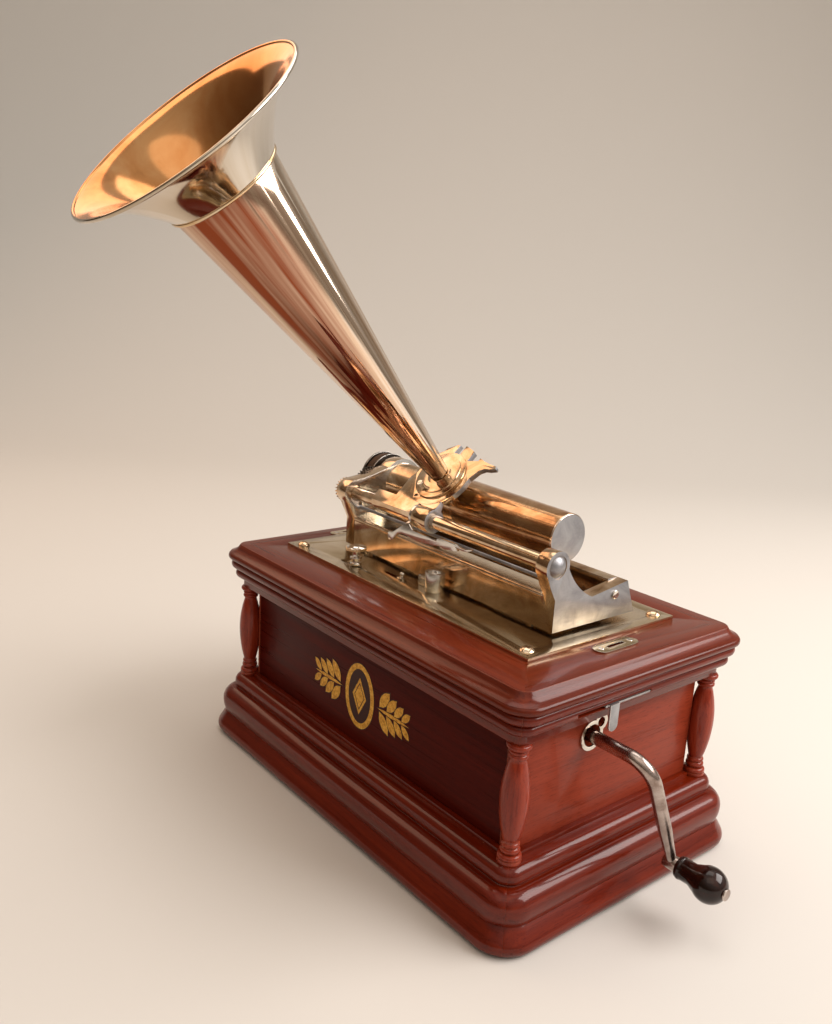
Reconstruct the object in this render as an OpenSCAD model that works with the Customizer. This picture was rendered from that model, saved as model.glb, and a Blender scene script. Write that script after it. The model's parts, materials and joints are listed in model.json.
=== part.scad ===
// Table-top cylinder phonograph with a spring motor in a moulded wooden case.
// +X is the crank end, -Y the front, +Z up. The origin is the middle of the case bottom.

/* [Case] */
// Distance between the corner column axes, along the case
column_span_x = 382.5; // [370:0.5:420]
// Distance between the corner column axes, across the case
column_span_y = 224.5; // [210:0.5:260]
// Height of the splayed plinth strips
plinth_h = 23; // [21:0.5:30]
// Height of the torus strips on the plinth
torus_h = 26.5; // [26:0.5:34]
// Height of the strips at the foot of the panels
foot_h = 12.5; // [12:0.5:18]
// Height of the turned corner columns
column_h = 95; // [85:1:130]
// Height of the frieze strips with their two beads
frieze_h = 28.4; // [27:0.1:34]
// Thickness of the hinged top board
top_h = 14.6; // [12:0.1:20]
// Thickness of the four panels
panel_t = 10; // [8:0.5:14]
// Thickness of the bottom board
base_t = 10; // [6:0.5:14]
// How far the panel faces stand behind the column axes
panel_back = 3.5; // [2:0.5:4.5]
// How far the plinth stands out from the column axes
plinth_proj = 31.5; // [28:0.5:38]
// How far the torus stands out from the column axes
torus_proj = 26.5; // [25:0.5:27.5]
// How far the foot strips stand out from the column axes
foot_proj = 14.5; // [13:0.5:17]
// How far the plain frieze band stands out from the column axes
frieze_proj = 7; // [5:0.5:9]
// How far the lower frieze bead stands out from the column axes
lower_bead_proj = 15; // [13:0.5:16]
// How far the upper frieze bead stands out from the column axes
upper_bead_proj = 19.3; // [17:0.1:20.5]
// How far the top board stands out from the column axes
top_proj = 22.3; // [21:0.1:26]
// Width of the hollowed edge on the top board
cove_w = 9.5; // [7:0.5:12]
// Largest radius of the corner columns
column_r = 10.8; // [9.5:0.1:12]

/* [Hinges and latch] */
// Distance of each hinge from the middle of the left end
hinge_y = 70; // [45:1:80]
// Length of each hinge
hinge_l = 44; // [30:1:50]
// Radius of the hinge knuckles
knuckle_r = 3; // [2.5:0.1:4]
// Radius of the hinge pins
hinge_pin_r = 1.5; // [1:0.1:2]
// Thickness of the hinge leaves
leaf_t = 1.4; // [1:0.1:2]
// Travel of the latch along its slot
latch_travel = 28; // [20:1:32]
// Width of the latch finger tab
latch_tab_w = 10; // [8:0.5:14]
// Length of the latch finger tab
latch_tab_l = 22; // [16:1:26]

/* [Crank] */
// Crank axis, measured from the middle of the case
crank_y = -30; // [-40:1:-20]
// Distance of the crank axis below the top of the panels
crank_drop = 20; // [18:0.5:25]
// Radius of the crank rod
crank_r = 5.5; // [4.5:0.1:6.5]
// Distance from the crank axis to the knob axis
crank_throw = 105; // [90:1:112]
// Lean of the crank arm from hanging straight down
crank_lean = 24.7; // [-30:0.1:40]
// How far the crank rod stands out before its bend
crank_reach = 57; // [50:1:80]
// Radius of the bend in the crank rod
crank_bend = 20; // [14:1:26]
// Length of the wooden knob
knob_l = 40; // [34:1:50]
// Largest radius of the wooden knob
knob_r = 14; // [12:0.5:16]
// Radius of the rivet that the knob turns on
knob_pin_r = 3; // [2:0.1:4]

/* [Works] */
// Thickness of the nickelled bedplate
bed_t = 2.6; // [2:0.1:4]
// Distance from the left column axes to the left end of the bedplate
bed_in_left = 19.25; // [15:0.25:23]
// Distance from the right column axes to the right end of the bedplate
bed_in_right = 27.25; // [24:0.25:33]
// Front edge of the bedplate
bed_y0 = -82; // [-90:1:-78]
// Back edge of the bedplate
bed_y1 = 92; // [86:1:98]
// Gap under the trough frame
frame_gap = 3; // [2:0.5:5]
// Distance from the right end of the bedplate to the trough frame
frame_in = 20.2; // [16:0.1:26]
// Thickness of the right end wall of the frame
end_wall_t = 12; // [9:0.5:16]
// Front face of the trough frame
frame_y0 = -35.6; // [-40:0.1:-32]
// Back face of the trough frame, at its foot
frame_y1 = 63.4; // [61:0.1:66]
// How far the rear wall leans in at its top
rear_lean = 11.7; // [8:0.1:13]
// Thickness of the trough walls
wall_t = 3.5; // [3:0.5:5]
// Height of the front wall, to the middle of its rolled lip
wall_h = 27; // [22:0.5:30]
// Height of the rear wall
rear_h = 29.1; // [27:0.1:32]
// Axis of the guide tube, front to back
tube_y = -35.5; // [-38:0.1:-33]
// Height of the guide tube axis over the bedplate
tube_rise = 56.7; // [54:0.1:60]
// Radius of the guide tube
tube_r = 6.3; // [5.8:0.1:7]
// Bore radius of the guide tube
tube_bore_r = 4.6; // [4.2:0.1:5]
// Radius of the bosses that hold the guide tube
boss_r = 12.9; // [11:0.1:14]
// Distance from the left end of the bedplate to the left standard
standard_in = 34; // [32:1:38]
// Thickness of the left standard
standard_t = 14; // [10:1:18]
// Radius of the mandrel bearing barrel
barrel_bearing_r = 20; // [16:0.5:21]
// Running clearance of the shafts in their bearings
run_gap = 0.05; // [0.02:0.01:0.09]
// Clearance of fixed rods in their seats
seat_gap = 0.03; // [0.02:0.01:0.05]

/* [Mandrel] */
// Axis of the mandrel, front to back
mandrel_y = 20.8; // [19:0.1:23]
// Height of the mandrel axis over the bedplate
mandrel_rise = 61.6; // [60:0.1:66]
// Gap between the free end of the mandrel and the end wall
mandrel_gap = 29.8; // [24:0.1:36]
// Length of the mandrel
mandrel_l = 124; // [110:1:130]
// Radius of the mandrel at its free end
mandrel_r1 = 21.2; // [20:0.1:22]
// Radius of the mandrel at its thick end
mandrel_r0 = 23.3; // [22.2:0.1:24]
// Radius of the mandrel shaft
mandrel_shaft_r = 6; // [4.5:0.1:8]
// Radius of the pulley rims
pulley_r = 25.3; // [24:0.1:28]
// Depth of the belt seat in the pulleys
pulley_seat = 3; // [2.5:0.5:4]
// Width of the pulleys
pulley_w = 15.5; // [13:0.5:16.5]
// Width of the drive belt
belt_w = 8; // [5:0.5:9]
// Thickness of the drive belt
belt_t = 1.6; // [1:0.1:2]

/* [Carriage and horn] */
// Lean of the horn axis from upright, to the front
horn_lean = 43.75; // [43:0.25:46]
// Distance of the horn axis from the thick end of the mandrel, at rest
horn_in = -5; // [-8:0.5:4]
// Length of the horn
horn_l = 357; // [300:1:380]
// Share of the horn length taken by the flared bell
bell_share = 0.126; // [0.11:0.002:0.17]
// Radius of the horn where it slips on the neck
horn_r0 = 8.75; // [8:0.05:10]
// Radius of the horn where the bell begins
horn_r1 = 43.4; // [38:0.1:47]
// Radius of the bell mouth
bell_r = 93.5; // [80:0.5:100]
// Wall thickness of the horn
horn_t = 1.1; // [0.9:0.1:1.5]
// Length of the sleeve on the guide tube
sleeve_l = 83; // [70:1:88]
// Length of the sleeve under the plate
arm_l = 57; // [50:1:60]
// Radius of the sleeve on the guide tube
sleeve_r = 11; // [10:0.1:12]
// Thickness of the carriage plate
plate_t = 5; // [4:0.1:6]
// Radius of the ring that holds the reproducer
ring_r = 32.5; // [31:0.5:34]
// Radius of the reproducer flange
flange_r = 26; // [24:0.5:27]
// Height of the plate face above the guide tube axis
plate_rise = 8.1; // [7.5:0.1:9]

/* [Motor] */
// Inner face of the right motor plate
motor_x1 = 60; // [56:1:70]
// Distance from the far face of the belt pulleys to the left motor plate
motor_reach = 43; // [40:1:46]
// Thickness of the motor plates
motor_plate_t = 3; // [2:0.5:4]
// Radius of the spring barrel
barrel_r = 36; // [32:0.5:37]
// Length of the spring barrel
barrel_l = 60; // [48:1:66]
// Turns of the mainspring
spring_turns = 9; // [6:1:12]

/* [Hidden] */
$fn = 64;
hx = column_span_x / 2;
hy = column_span_y / 2;
z_torus = plinth_h;
z_foot = z_torus + torus_h;
z_column = z_foot + foot_h;
z_frieze = z_column + column_h;
z_lid = z_frieze + frieze_h;
z_top = z_lid + top_h;
z_bed = z_top + bed_t;
inner_d = -panel_back;
panel_x = hx - panel_back;
panel_y = hy - panel_back;
well_x = panel_x - panel_t;
well_y = panel_y - panel_t;
column_gap = 0.4;
column_neck_low = column_r - 4.4;
column_neck_high = column_r - 4.8;
column_swell = 0.52;
foot_bead_h = 3.5;
foot_bead_d = 1.5;
mitre_turn = 44.9;
mitre_gap = 0.1;
half_lap = 2;

nose_r = 8;
torus_r = 13;
torus_back_r = 29.5;
torus_mid = torus_h - torus_r - 1.2;
shoulder_r = 7.5;
quirk_h = 1.5;
quirk_d = 1.7;
lower_bead_r = 4.6;
upper_bead_r = 4.7;
top_bead_r = 3.6;
cove_r = 14;
top_round = 0.6;

hinge_x = -(hx + top_proj + knuckle_r + 0.2);
leaf_gap = 0.1;
leaf_in = 28;
leaf_recess = 0.15;
knuckle_gap = 0.2;

latch_drop = 14.8;
latch_z = z_lid - latch_drop;
latch_t = 1.6;
latch_slot_h = 2.8;
latch_y = -31;
latch_strip_l = 52;
latch_spare = 2;
latch_slot_y1 = latch_y + 45;
latch_slot_y0 = latch_slot_y1 - latch_strip_l - latch_travel - 2 * latch_spare;
latch_strip_y1 = latch_slot_y1 - latch_spare;
latch_strip_y0 = latch_strip_y1 - latch_strip_l;
latch_out = hx + lower_bead_proj + 0.4;
latch_in = well_x - 11;
finger_l = 8;
finger_w = 5;
keeper_rim = 4;
keeper_gap = 0.8;
keeper_t = 4;
keeper_y = latch_strip_y0 - latch_travel - keeper_gap;
keeper_drop = 9;
keeper_slot_h = 5;

crank_z = z_frieze - crank_drop;
key_big_r = 9.2;
key_small_r = 4;
key_dy = 9.5;
key_dz = 9;
key_rim = 3.2;
escutcheon_t = 1.5;
bush_l = 10;
bush_r = 11;
dog_l = 5;
dog_w = 5;
dog_gap = 2.2;
arbor_in = 37.75;
arbor_x1 = well_x - arbor_in;

bed_x0 = bed_in_left - hx;
bed_x1 = hx - bed_in_right;
frame_x1 = bed_x1 - frame_in;
standard_x0 = bed_x0 + standard_in;
frame_z0 = z_bed + frame_gap;
wall_top = frame_z0 + wall_h;
rear_top = frame_z0 + rear_h;
tube_z = z_bed + tube_rise;
mandrel_z = z_bed + mandrel_rise;
standard_x1 = standard_x0 + standard_t;
end_x0 = frame_x1 - end_wall_t;
mandrel_x1 = end_x0 - mandrel_gap;
mandrel_x0 = mandrel_x1 - mandrel_l;
horn_x = mandrel_x0 + horn_in;
foot_r = 4;
foot_in = 20;
lip_r = 2.4;
lip_x1 = end_x0 - 4;
ledge_w = 9;
ledge_t = 3;
rear_flange = 12;
scoop_r = 63.3;
scoop_lead = 24.9;
scoop_y = mandrel_y - 12.8;
scoop_z = frame_z0 + 22.6;
cap_r = 8.7;
cap_h = 3.6;
cap_recess = 1;
rod_r = 1.5;
rod_y = tube_y + 8.5;
rod_z = tube_z - 16;
tube_slot_w = 4;
tube_x1 = end_x0 + 4;
screw_r = 3.8;
journal_r = tube_bore_r - run_gap;
housing_r = barrel_bearing_r + 4;
standard_sag = 2.5;

gear_gap = 1;
gear_w = 4.5;
gear_x0 = standard_x0 - gear_gap - gear_w;
small_teeth = 22;
idler_teeth = 34;
axis_y = tube_y - mandrel_y;
axis_z = tube_z - mandrel_z;
axis_l = sqrt(axis_y * axis_y + axis_z * axis_z);
axis_turn = atan2(axis_z, axis_y);
gear_m = axis_l / (small_teeth + idler_teeth);
idler_y = (tube_y + mandrel_y) / 2;
idler_z = (tube_z + mandrel_z) / 2;
stud_r = 3;
pulley_x0 = gear_x0 - gear_gap - pulley_w;
pulley_mid = pulley_x0 + pulley_w / 2;
motor_x0 = pulley_x0 + motor_reach;
seat_r = pulley_r - pulley_seat;
belt_gap = 0.3;
rim_t = 2;

horn_turn = [horn_lean, 0, 0];
tube_s = tube_y * cos(horn_lean) + tube_z * sin(horn_lean);
tube_n = tube_z * cos(horn_lean) - tube_y * sin(horn_lean);
mandrel_s = mandrel_y * cos(horn_lean) + mandrel_z * sin(horn_lean);
horn_ahead = 2.7;
horn_s = mandrel_s - horn_ahead;
plate_n = tube_n + plate_rise;
sleeve_x1 = horn_x + 22;
sleeve_x0 = sleeve_x1 - sleeve_l;
arm_x0 = sleeve_x1 - arm_l;
ring_hole_r = flange_r - 2.5;
neck_r = horn_r0 - horn_t - 0.15;
neck_h = 14;
flange_t = 2;
dome_h = 2.7;
dome_r = 16.5;
horn_gap = 0.3;
horn_n = plate_n + flange_t + dome_h + horn_gap;
body_drop = 11;
bell_l = horn_l * bell_share;
cone_l = horn_l - bell_l;
roll_r = 1.6;
bell_flare_share = 1.18;
bell_mouth_share = 0.98;
sleeve_tail = horn_s - tube_s - ring_hole_r - 1.2;
bar_tail = 9;
bar_r = tube_r + 1.2;
collar_w = 3;
collar_r = sleeve_r - 0.2;
collar_gap = 0.3;
collar_x = horn_x - 1;
lever_t = 2.6;
lever_y = sleeve_r + 1.2;
lever_ahead = 2;
lever_r = 4.2;
hook_r = 23.7;
hook_t = 1.7;

pivot_y = crank_y;
pivot_z = crank_z;
barrel_x1 = motor_x1 - 20;
barrel_lap = 1;
barrel_gear_w = 7;
barrel_x0 = barrel_x1 - barrel_l;
barrel_wall = 2;
spring_gap = 0.3;
barrel_teeth = 96;
barrel_m = 0.9;
second_pinion = 12;
second_teeth = 72;
second_m = 0.8;
drive_pinion = 12;
drive_teeth = 60;
drive_m = 0.7;
governor_pinion = 12;
second_turn = -60;
second_x = motor_x0 + 57;
second_w = 5;
drive_x = motor_x0 + 17;
drive_w = 4;
pinion_lap = 3;
second_l = (barrel_teeth + second_pinion) * barrel_m / 2;
second_y = pivot_y + second_l * cos(second_turn);
second_z = pivot_z + second_l * sin(second_turn);
drive_l = (second_teeth + drive_pinion) * second_m / 2;
drive_y = mandrel_y;
drive_turn = acos((drive_y - second_y) / drive_l);
drive_z = second_z + drive_l * sin(drive_turn);
governor_turn = 30;
governor_l = (drive_teeth + governor_pinion) * drive_m / 2;
governor_y = drive_y + governor_l * cos(governor_turn);
governor_z = drive_z + governor_l * sin(governor_turn);
arbor_r = 5.5;
train_r = 3;
spindle_r = 2;
plate_y0 = -82;
plate_y1 = 66;
plate_z0 = z_lid - 123.4;
pillar_r = 5;
motor_foot = 14;
ratchet_r = 14;
ratchet_teeth = 18;
ratchet_w = 4;
governor_x = -10;
weight_half = 36;
weight_flat = 4;
weight_rise = 12;
weight_r = 5;
weight_spring_t = 0.8;
hub_l = 8;
hub_r = 4;

speed_x = -80.5;
speed_y = -64;
speed_r = 3.2;
speed_head_r = 9.3;
speed_head_h = 3;
speed_rise = 14.6;
speed_collar_r = 5.4;
speed_collar_h = 1.6;
start_x = -25;
start_y = -52;
start_travel = 24;
start_pin_r = 1.6;
start_gap = 0.4;
start_knob_r = 2.3;
start_plate_l = 8;
start_plate_w = 5.2;
start_plate_t = 1.2;
post_x = 12;
post_y = -45;
post_r = 9;
post_h = 16.5;
post_tab_l = 20;
post_tab_t = 4;
post_seat = 3;
bed_screw_x = 12.2;
bed_screw_y = 11;
bed_screw_r = 6.4;
bed_slot_w = 1.3;
bed_slot_d = 1.4;
bed_slot_turn = 25;
bed_screw_h = 3;
shank_r = 2.2;
shank_l = 11;
catch_x1 = hx - 13.5;
catch_x0 = 8.75 - hx;
catch_slot_w = 3;
catch_slot_l = 19;
catch_pocket = 8;
catch_y = 0.6;
catch_l = 47;
catch_w = 14;
catch_t = 1.2;
brake_y = -10;
brake_drop = 27.4;
brake_z = z_lid - brake_drop;
brake_pin_r = 2;
brake_gap = 0.6;
bar_h = 7;
bar_end = 4;
speed_tip = brake_z + bar_h / 2 + brake_gap;
disc_x = -60;
disc_t = 3;
disc_r = 14;

wood = [0.36, 0.11, 0.07];
dark_wood = [0.16, 0.07, 0.05];
nickel = [0.80, 0.72, 0.60];
satin = [0.78, 0.78, 0.78];
brass = [0.72, 0.58, 0.30];
steel = [0.45, 0.45, 0.47];
leather = [0.25, 0.15, 0.09];

// A flat outline in (y, z), carried along X
module along_x(x0, x1) {
    translate([x0, 0, 0])
        rotate([90, 0, 90])
            linear_extrude(x1 - x0)
                children();
}

module rod_x(x0, x1, y, z, r) {
    translate([x0, y, z])
        rotate([0, 90, 0])
            cylinder(h = x1 - x0, r = r);
}

// An outline turned about an axis along X; the outline's height runs along +X
module turned_x(x0, y, z) {
    translate([x0, y, z])
        rotate([0, 90, 0])
            rotate_extrude()
                children();
}

module right_half() {
    intersection() {
        children();
        translate([0, -1])
            square([hx, z_top + hx]);
    }
}

module left_half() {
    intersection() {
        children();
        translate([inner_d - 1, -1])
            square([half_lap + 1 - inner_d, z_top + hx]);
    }
}

// One mitred moulding strip; side 0 is the right end, then back, left and front
module strip(side) {
    out = side % 2 == 0 ? hx : hy;
    half = side % 2 == 0 ? hy : hx;
    rotate([0, 0, 90 * side]) {
        translate([out, 0, 0])
            rotate([90, 0, 0])
                linear_extrude(2 * half, center = true)
                    right_half() children();
        translate([out, 0, 0])
            rotate([90, 0, 0])
                linear_extrude(2 * (half - panel_back - mitre_gap), center = true)
                    left_half() children();
        translate([out, half, 0])
            rotate_extrude(angle = mitre_turn)
                right_half() children();
        mirror([0, 1, 0])
            translate([out, half, 0])
                rotate_extrude(angle = mitre_turn)
                    right_half() children();
    }
}

module strips() {
    for (side = [0 : 3])
        strip(side)
            children();
}

module at_columns() {
    for (x = [-hx, hx], y = [-hy, hy])
        translate([x, y, 0])
            children();
}

// Profiles in (distance from the column axis, height)
module plinth_profile() {
    nose_d = plinth_proj - nose_r;
    lean = 32;
    top_d = nose_d + nose_r / cos(lean) - (plinth_h - nose_r) * tan(lean);
    translate([nose_d, nose_r])
        circle(nose_r);
    polygon([
        [inner_d, 0], [nose_d, 0], [nose_d, nose_r],
        [nose_d + nose_r * cos(lean), nose_r + nose_r * sin(lean)],
        [top_d, plinth_h], [inner_d, plinth_h]
    ]);
}

module torus_profile() {
    translate([0, z_torus]) {
        intersection() {
            translate([torus_proj - torus_r, torus_mid])
                circle(torus_r);
            translate([torus_proj - torus_r - 1, torus_mid])
                square([torus_r + 2, torus_r + 1]);
        }
        intersection() {
            translate([torus_proj - torus_back_r, torus_mid])
                circle(torus_back_r);
            translate([inner_d, 0])
                square([torus_proj - inner_d + 1, torus_mid]);
        }
        translate([inner_d, 0])
            square([torus_proj - torus_r - inner_d, torus_h]);
    }
}

module foot_profile() {
    translate([0, z_foot]) {
        intersection() {
            translate([foot_proj - shoulder_r, foot_h - shoulder_r])
                circle(shoulder_r);
            translate([0, foot_h - shoulder_r])
                square([foot_proj, shoulder_r]);
        }
        translate([inner_d, 0])
            square([foot_proj - shoulder_r - inner_d, foot_h]);
        translate([inner_d, quirk_h])
            square([foot_proj - inner_d, foot_h - shoulder_r - quirk_h]);
        translate([inner_d, 0])
            square([foot_proj - quirk_d - inner_d, quirk_h]);
        translate([inner_d, foot_h])
            square([foot_bead_d - inner_d, foot_bead_h]);
    }
}

module frieze_profile() {
    upper_z = z_lid - upper_bead_r;
    lower_z = z_lid - 2 * upper_bead_r - 0.6 - lower_bead_r;
    upper_d = upper_bead_proj - upper_bead_r;
    lower_d = lower_bead_proj - lower_bead_r;
    translate([upper_d, upper_z])
        circle(upper_bead_r);
    translate([inner_d, upper_z - upper_bead_r])
        square([upper_d - inner_d, 2 * upper_bead_r]);
    translate([lower_d, lower_z])
        circle(lower_bead_r);
    translate([inner_d, lower_z - lower_bead_r])
        square([lower_d - inner_d, upper_z - lower_z - upper_bead_r + lower_bead_r]);
    translate([inner_d, z_frieze])
        square([frieze_proj - inner_d, lower_z - z_frieze]);
}

module top_profile() {
    bead_d = top_proj - top_bead_r;
    edge_d = top_proj - 1.5;
    flat_d = edge_d - cove_w;
    edge_z = z_lid + 2 * top_bead_r - 0.4;
    flat_z = z_top - top_round;
    mid_d = (edge_d + flat_d) / 2;
    mid_z = (edge_z + flat_z) / 2;
    chord = sqrt(pow(edge_d - flat_d, 2) + pow(flat_z - edge_z, 2));
    reach = sqrt(cove_r * cove_r - chord * chord / 4);
    translate([bead_d, z_lid + top_bead_r])
        circle(top_bead_r);
    translate([inner_d, z_lid])
        square([bead_d - inner_d, 2 * top_bead_r]);
    difference() {
        polygon([
            [inner_d, edge_z], [edge_d, edge_z], [flat_d, flat_z],
            [flat_d - top_round, z_top], [inner_d, z_top]
        ]);
        translate([
            mid_d + reach * (flat_z - edge_z) / chord,
            mid_z + reach * (edge_d - flat_d) / chord
        ])
            circle(cove_r);
    }
}

module base_board() {
    color(dark_wood)
        translate([-panel_x, -panel_y, 0])
            cube([2 * panel_x, 2 * panel_y, base_t]);
}

module plinth_strips() {
    color(wood)
        strips() plinth_profile();
}

module torus_strips() {
    color(wood)
        strips() torus_profile();
}

module foot_strips() {
    color(wood)
        difference() {
            strips() foot_profile();
            at_columns()
                translate([0, 0, z_column])
                    cylinder(h = foot_bead_h + 1, r = column_r + column_gap);
        }
}

module front_panel() {
    color(wood)
        translate([-well_x, -panel_y, base_t])
            cube([2 * well_x, panel_t, z_lid - base_t]);
}

module back_panel() {
    color(wood)
        translate([-well_x, well_y, base_t])
            cube([2 * well_x, panel_t, z_lid - base_t]);
}

// An end panel, hollowed at both corners for the columns
module end_panel(x) {
    difference() {
        translate([x, -panel_y, base_t])
            cube([panel_t, 2 * panel_y, z_lid - base_t]);
        at_columns()
            cylinder(h = z_lid + 1, r = column_r + column_gap);
    }
}

module left_panel() {
    color(wood)
        end_panel(-panel_x);
}

module keyhole(grow) {
    translate([crank_y, crank_z])
        circle(key_big_r + grow);
    translate([crank_y + key_dy, crank_z + key_dz])
        circle(key_small_r + grow);
}

module latch_slot() {
    translate([latch_in - 1, latch_slot_y0, latch_z - latch_slot_h / 2])
        cube([latch_out - latch_in + 10, latch_slot_y1 - latch_slot_y0, latch_slot_h]);
}

module right_panel() {
    color(wood)
        difference() {
            end_panel(well_x);
            along_x(well_x - 1, panel_x + 1)
                keyhole(0);
            latch_slot();
        }
}

// The swelling shaft of a column, from its lower neck to its upper neck
function shaft_r(t) = t < column_swell
    ? column_r - (column_r - column_neck_low) * pow(1 - t / column_swell, 2)
    : column_r - (column_r - column_neck_high) * pow((t - column_swell) / (1 - column_swell), 2);

module column_profile() {
    foot_r = column_r - 1.6;
    ring = 2.6;
    shaft_z0 = 0.19 * column_h;
    shaft_z1 = 0.86 * column_h;
    steps = 16;
    square([column_neck_high, column_h]);
    square([foot_r, 3]);
    translate([foot_r - ring, 4.6])
        circle(ring);
    translate([foot_r - ring - 1.6, 10])
        circle(ring);
    translate([foot_r - ring - 1.4, 14.4])
        circle(1.9);
    square([foot_r - ring - 1.6, shaft_z0]);
    polygon(concat(
        [[0, shaft_z1], [0, shaft_z0]],
        [for (i = [0 : steps]) [shaft_r(i / steps), shaft_z0 + (shaft_z1 - shaft_z0) * i / steps]]
    ));
    translate([column_neck_high - 0.6, column_h - 10.2])
        circle(2);
    translate([column_neck_high - 0.6, column_h - 6.8])
        circle(1.8);
    translate([foot_r - 2.2, column_h - 2.4])
        circle(2.4);
    translate([0, column_h - 4.8])
        square([foot_r - 2.2, 4.8]);
}

module corner_columns() {
    color(wood)
        at_columns()
            translate([0, 0, z_column])
                rotate_extrude()
                    column_profile();
}

module frieze_strips() {
    color(wood)
        difference() {
            strips() frieze_profile();
            latch_slot();
            hinge_recess(z_lid - leaf_t - leaf_gap - leaf_recess, leaf_t + 1);
        }
}

module at_hinges() {
    for (y = [-hinge_y, hinge_y])
        translate([hinge_x, y, z_lid])
            children();
}

module hinge_recess(z, h) {
    for (y = [-hinge_y, hinge_y])
        translate([hinge_x, y - hinge_l / 2 - leaf_recess, z])
            cube([leaf_in + leaf_recess, hinge_l + 2 * leaf_recess, h]);
}

// A knuckle along Y between two shares of the hinge length
module knuckle(y0, y1, r) {
    translate([0, y1, 0])
        rotate([90, 0, 0])
            cylinder(h = y1 - y0, r = r);
}

module hinge_leaf(z, spans) {
    at_hinges() {
        translate([knuckle_r + 0.4, -hinge_l / 2, z])
            cube([leaf_in - knuckle_r - 0.4, hinge_l, leaf_t]);
        for (s = spans)
            difference() {
                union() {
                    knuckle(s[0], s[1], knuckle_r);
                    translate([0, s[0], z])
                        cube([knuckle_r + 1, s[1] - s[0], leaf_t]);
                }
                knuckle(s[0] - 1, s[1] + 1, hinge_pin_r + run_gap);
            }
    }
}

module lower_hinge_leaves() {
    third = hinge_l / 6;
    color(brass)
        hinge_leaf(-leaf_gap - leaf_t, [
            [-hinge_l / 2, -third - knuckle_gap], [third + knuckle_gap, hinge_l / 2]
        ]);
}

module upper_hinge_leaves() {
    third = hinge_l / 6;
    color(brass)
        hinge_leaf(leaf_gap, [[-third, third]]);
}

module hinge_pins() {
    color(steel)
        at_hinges() {
            knuckle(-hinge_l / 2, hinge_l / 2, hinge_pin_r);
            knuckle(hinge_l / 2, hinge_l / 2 + 1.2, hinge_pin_r + 1);
        }
}

module crank_escutcheon() {
    color(nickel)
        along_x(panel_x, panel_x + escutcheon_t)
            difference() {
                keyhole(key_rim);
                keyhole(0);
            }
}

module crank_bush() {
    color(brass)
        difference() {
            union() {
                rod_x(well_x - bush_l, well_x, crank_y, crank_z, bush_r);
                rod_x(well_x - 3, well_x, crank_y, crank_z, bush_r + 7);
            }
            rod_x(well_x - bush_l - 1, well_x + 1, crank_y, crank_z, crank_r + run_gap);
        }
}

module latch_slide() {
    z0 = latch_z - latch_t / 2;
    color(satin) {
        translate([latch_in, latch_strip_y0, z0])
            cube([latch_out - latch_in, latch_strip_l, latch_t]);
        translate([latch_in, latch_strip_y0 - finger_l, z0])
            cube([finger_w, finger_l + 1, latch_t]);
        translate([latch_out, latch_y - latch_tab_w / 2, z0 + latch_t - latch_tab_l + latch_tab_w / 2])
            cube([latch_t, latch_tab_w, latch_tab_l - latch_tab_w / 2]);
        rod_x(latch_out, latch_out + latch_t, latch_y, z0 + latch_t - latch_tab_l + latch_tab_w / 2,
            latch_tab_w / 2);
    }
}

module latch_keeper() {
    color(steel)
        difference() {
            translate([latch_in - keeper_rim, keeper_y - keeper_t, latch_z - keeper_drop])
                cube([finger_w + 2 * keeper_rim, keeper_t, latch_drop + keeper_drop]);
            translate([latch_in - keeper_gap, keeper_y - keeper_t - 1, latch_z - keeper_slot_h / 2])
                cube([finger_w + 2 * keeper_gap, keeper_t + 2, keeper_slot_h]);
        }
}

// The crank rod in its own frame: the shaft along X, the arm hanging down
module crank_rod() {
    bend_x = panel_x + crank_reach;
    arm_l = crank_throw - crank_bend;
    neck_l = 0.45 * arm_l;
    tip_r = 0.66 * crank_r;
    dog_x = arbor_x1 + dog_gap;
    translate([dog_x, 0, 0])
        rotate([0, 90, 0])
            cylinder(h = bend_x - crank_bend - dog_x, r = crank_r);
    intersection() {
        translate([dog_x - dog_l, -dog_w / 2, -crank_r])
            cube([dog_l + 1, dog_w, 2 * crank_r]);
        translate([dog_x - dog_l, 0, 0])
            rotate([0, 90, 0])
                cylinder(h = dog_l + 1, r = crank_r);
    }
    translate([bend_x - crank_bend, 0, -crank_bend])
        rotate([90, 0, 0])
            rotate_extrude(angle = 90)
                translate([crank_bend, 0])
                    circle(crank_r);
    translate([bend_x, 0, -crank_throw + neck_l])
        cylinder(h = arm_l - neck_l, r = crank_r);
    translate([bend_x, 0, -crank_throw])
        cylinder(h = neck_l, r1 = tip_r, r2 = crank_r);
    translate([bend_x - crank_r, 0, -crank_throw])
        rotate([0, 90, 0])
            cylinder(h = crank_r + knob_x(), r = crank_r + 0.5);
    translate([bend_x, 0, -crank_throw])
        rotate([0, 90, 0])
            cylinder(h = knob_x() + knob_l + 1.5, r = knob_pin_r);
    translate([bend_x + knob_x() + knob_l + 0.4, 0, -crank_throw])
        rotate([0, 90, 0])
            cylinder(h = 1.5, r = knob_pin_r + 1.6);
}

// The knob starts this far beyond the middle of the crank arm
function knob_x() = crank_r + 1.5;

module at_crank() {
    translate([0, crank_y, crank_z])
        rotate([crank_lean, 0, 0])
            children();
}

module crank_arm() {
    color(nickel)
        at_crank()
            crank_rod();
}

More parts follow.
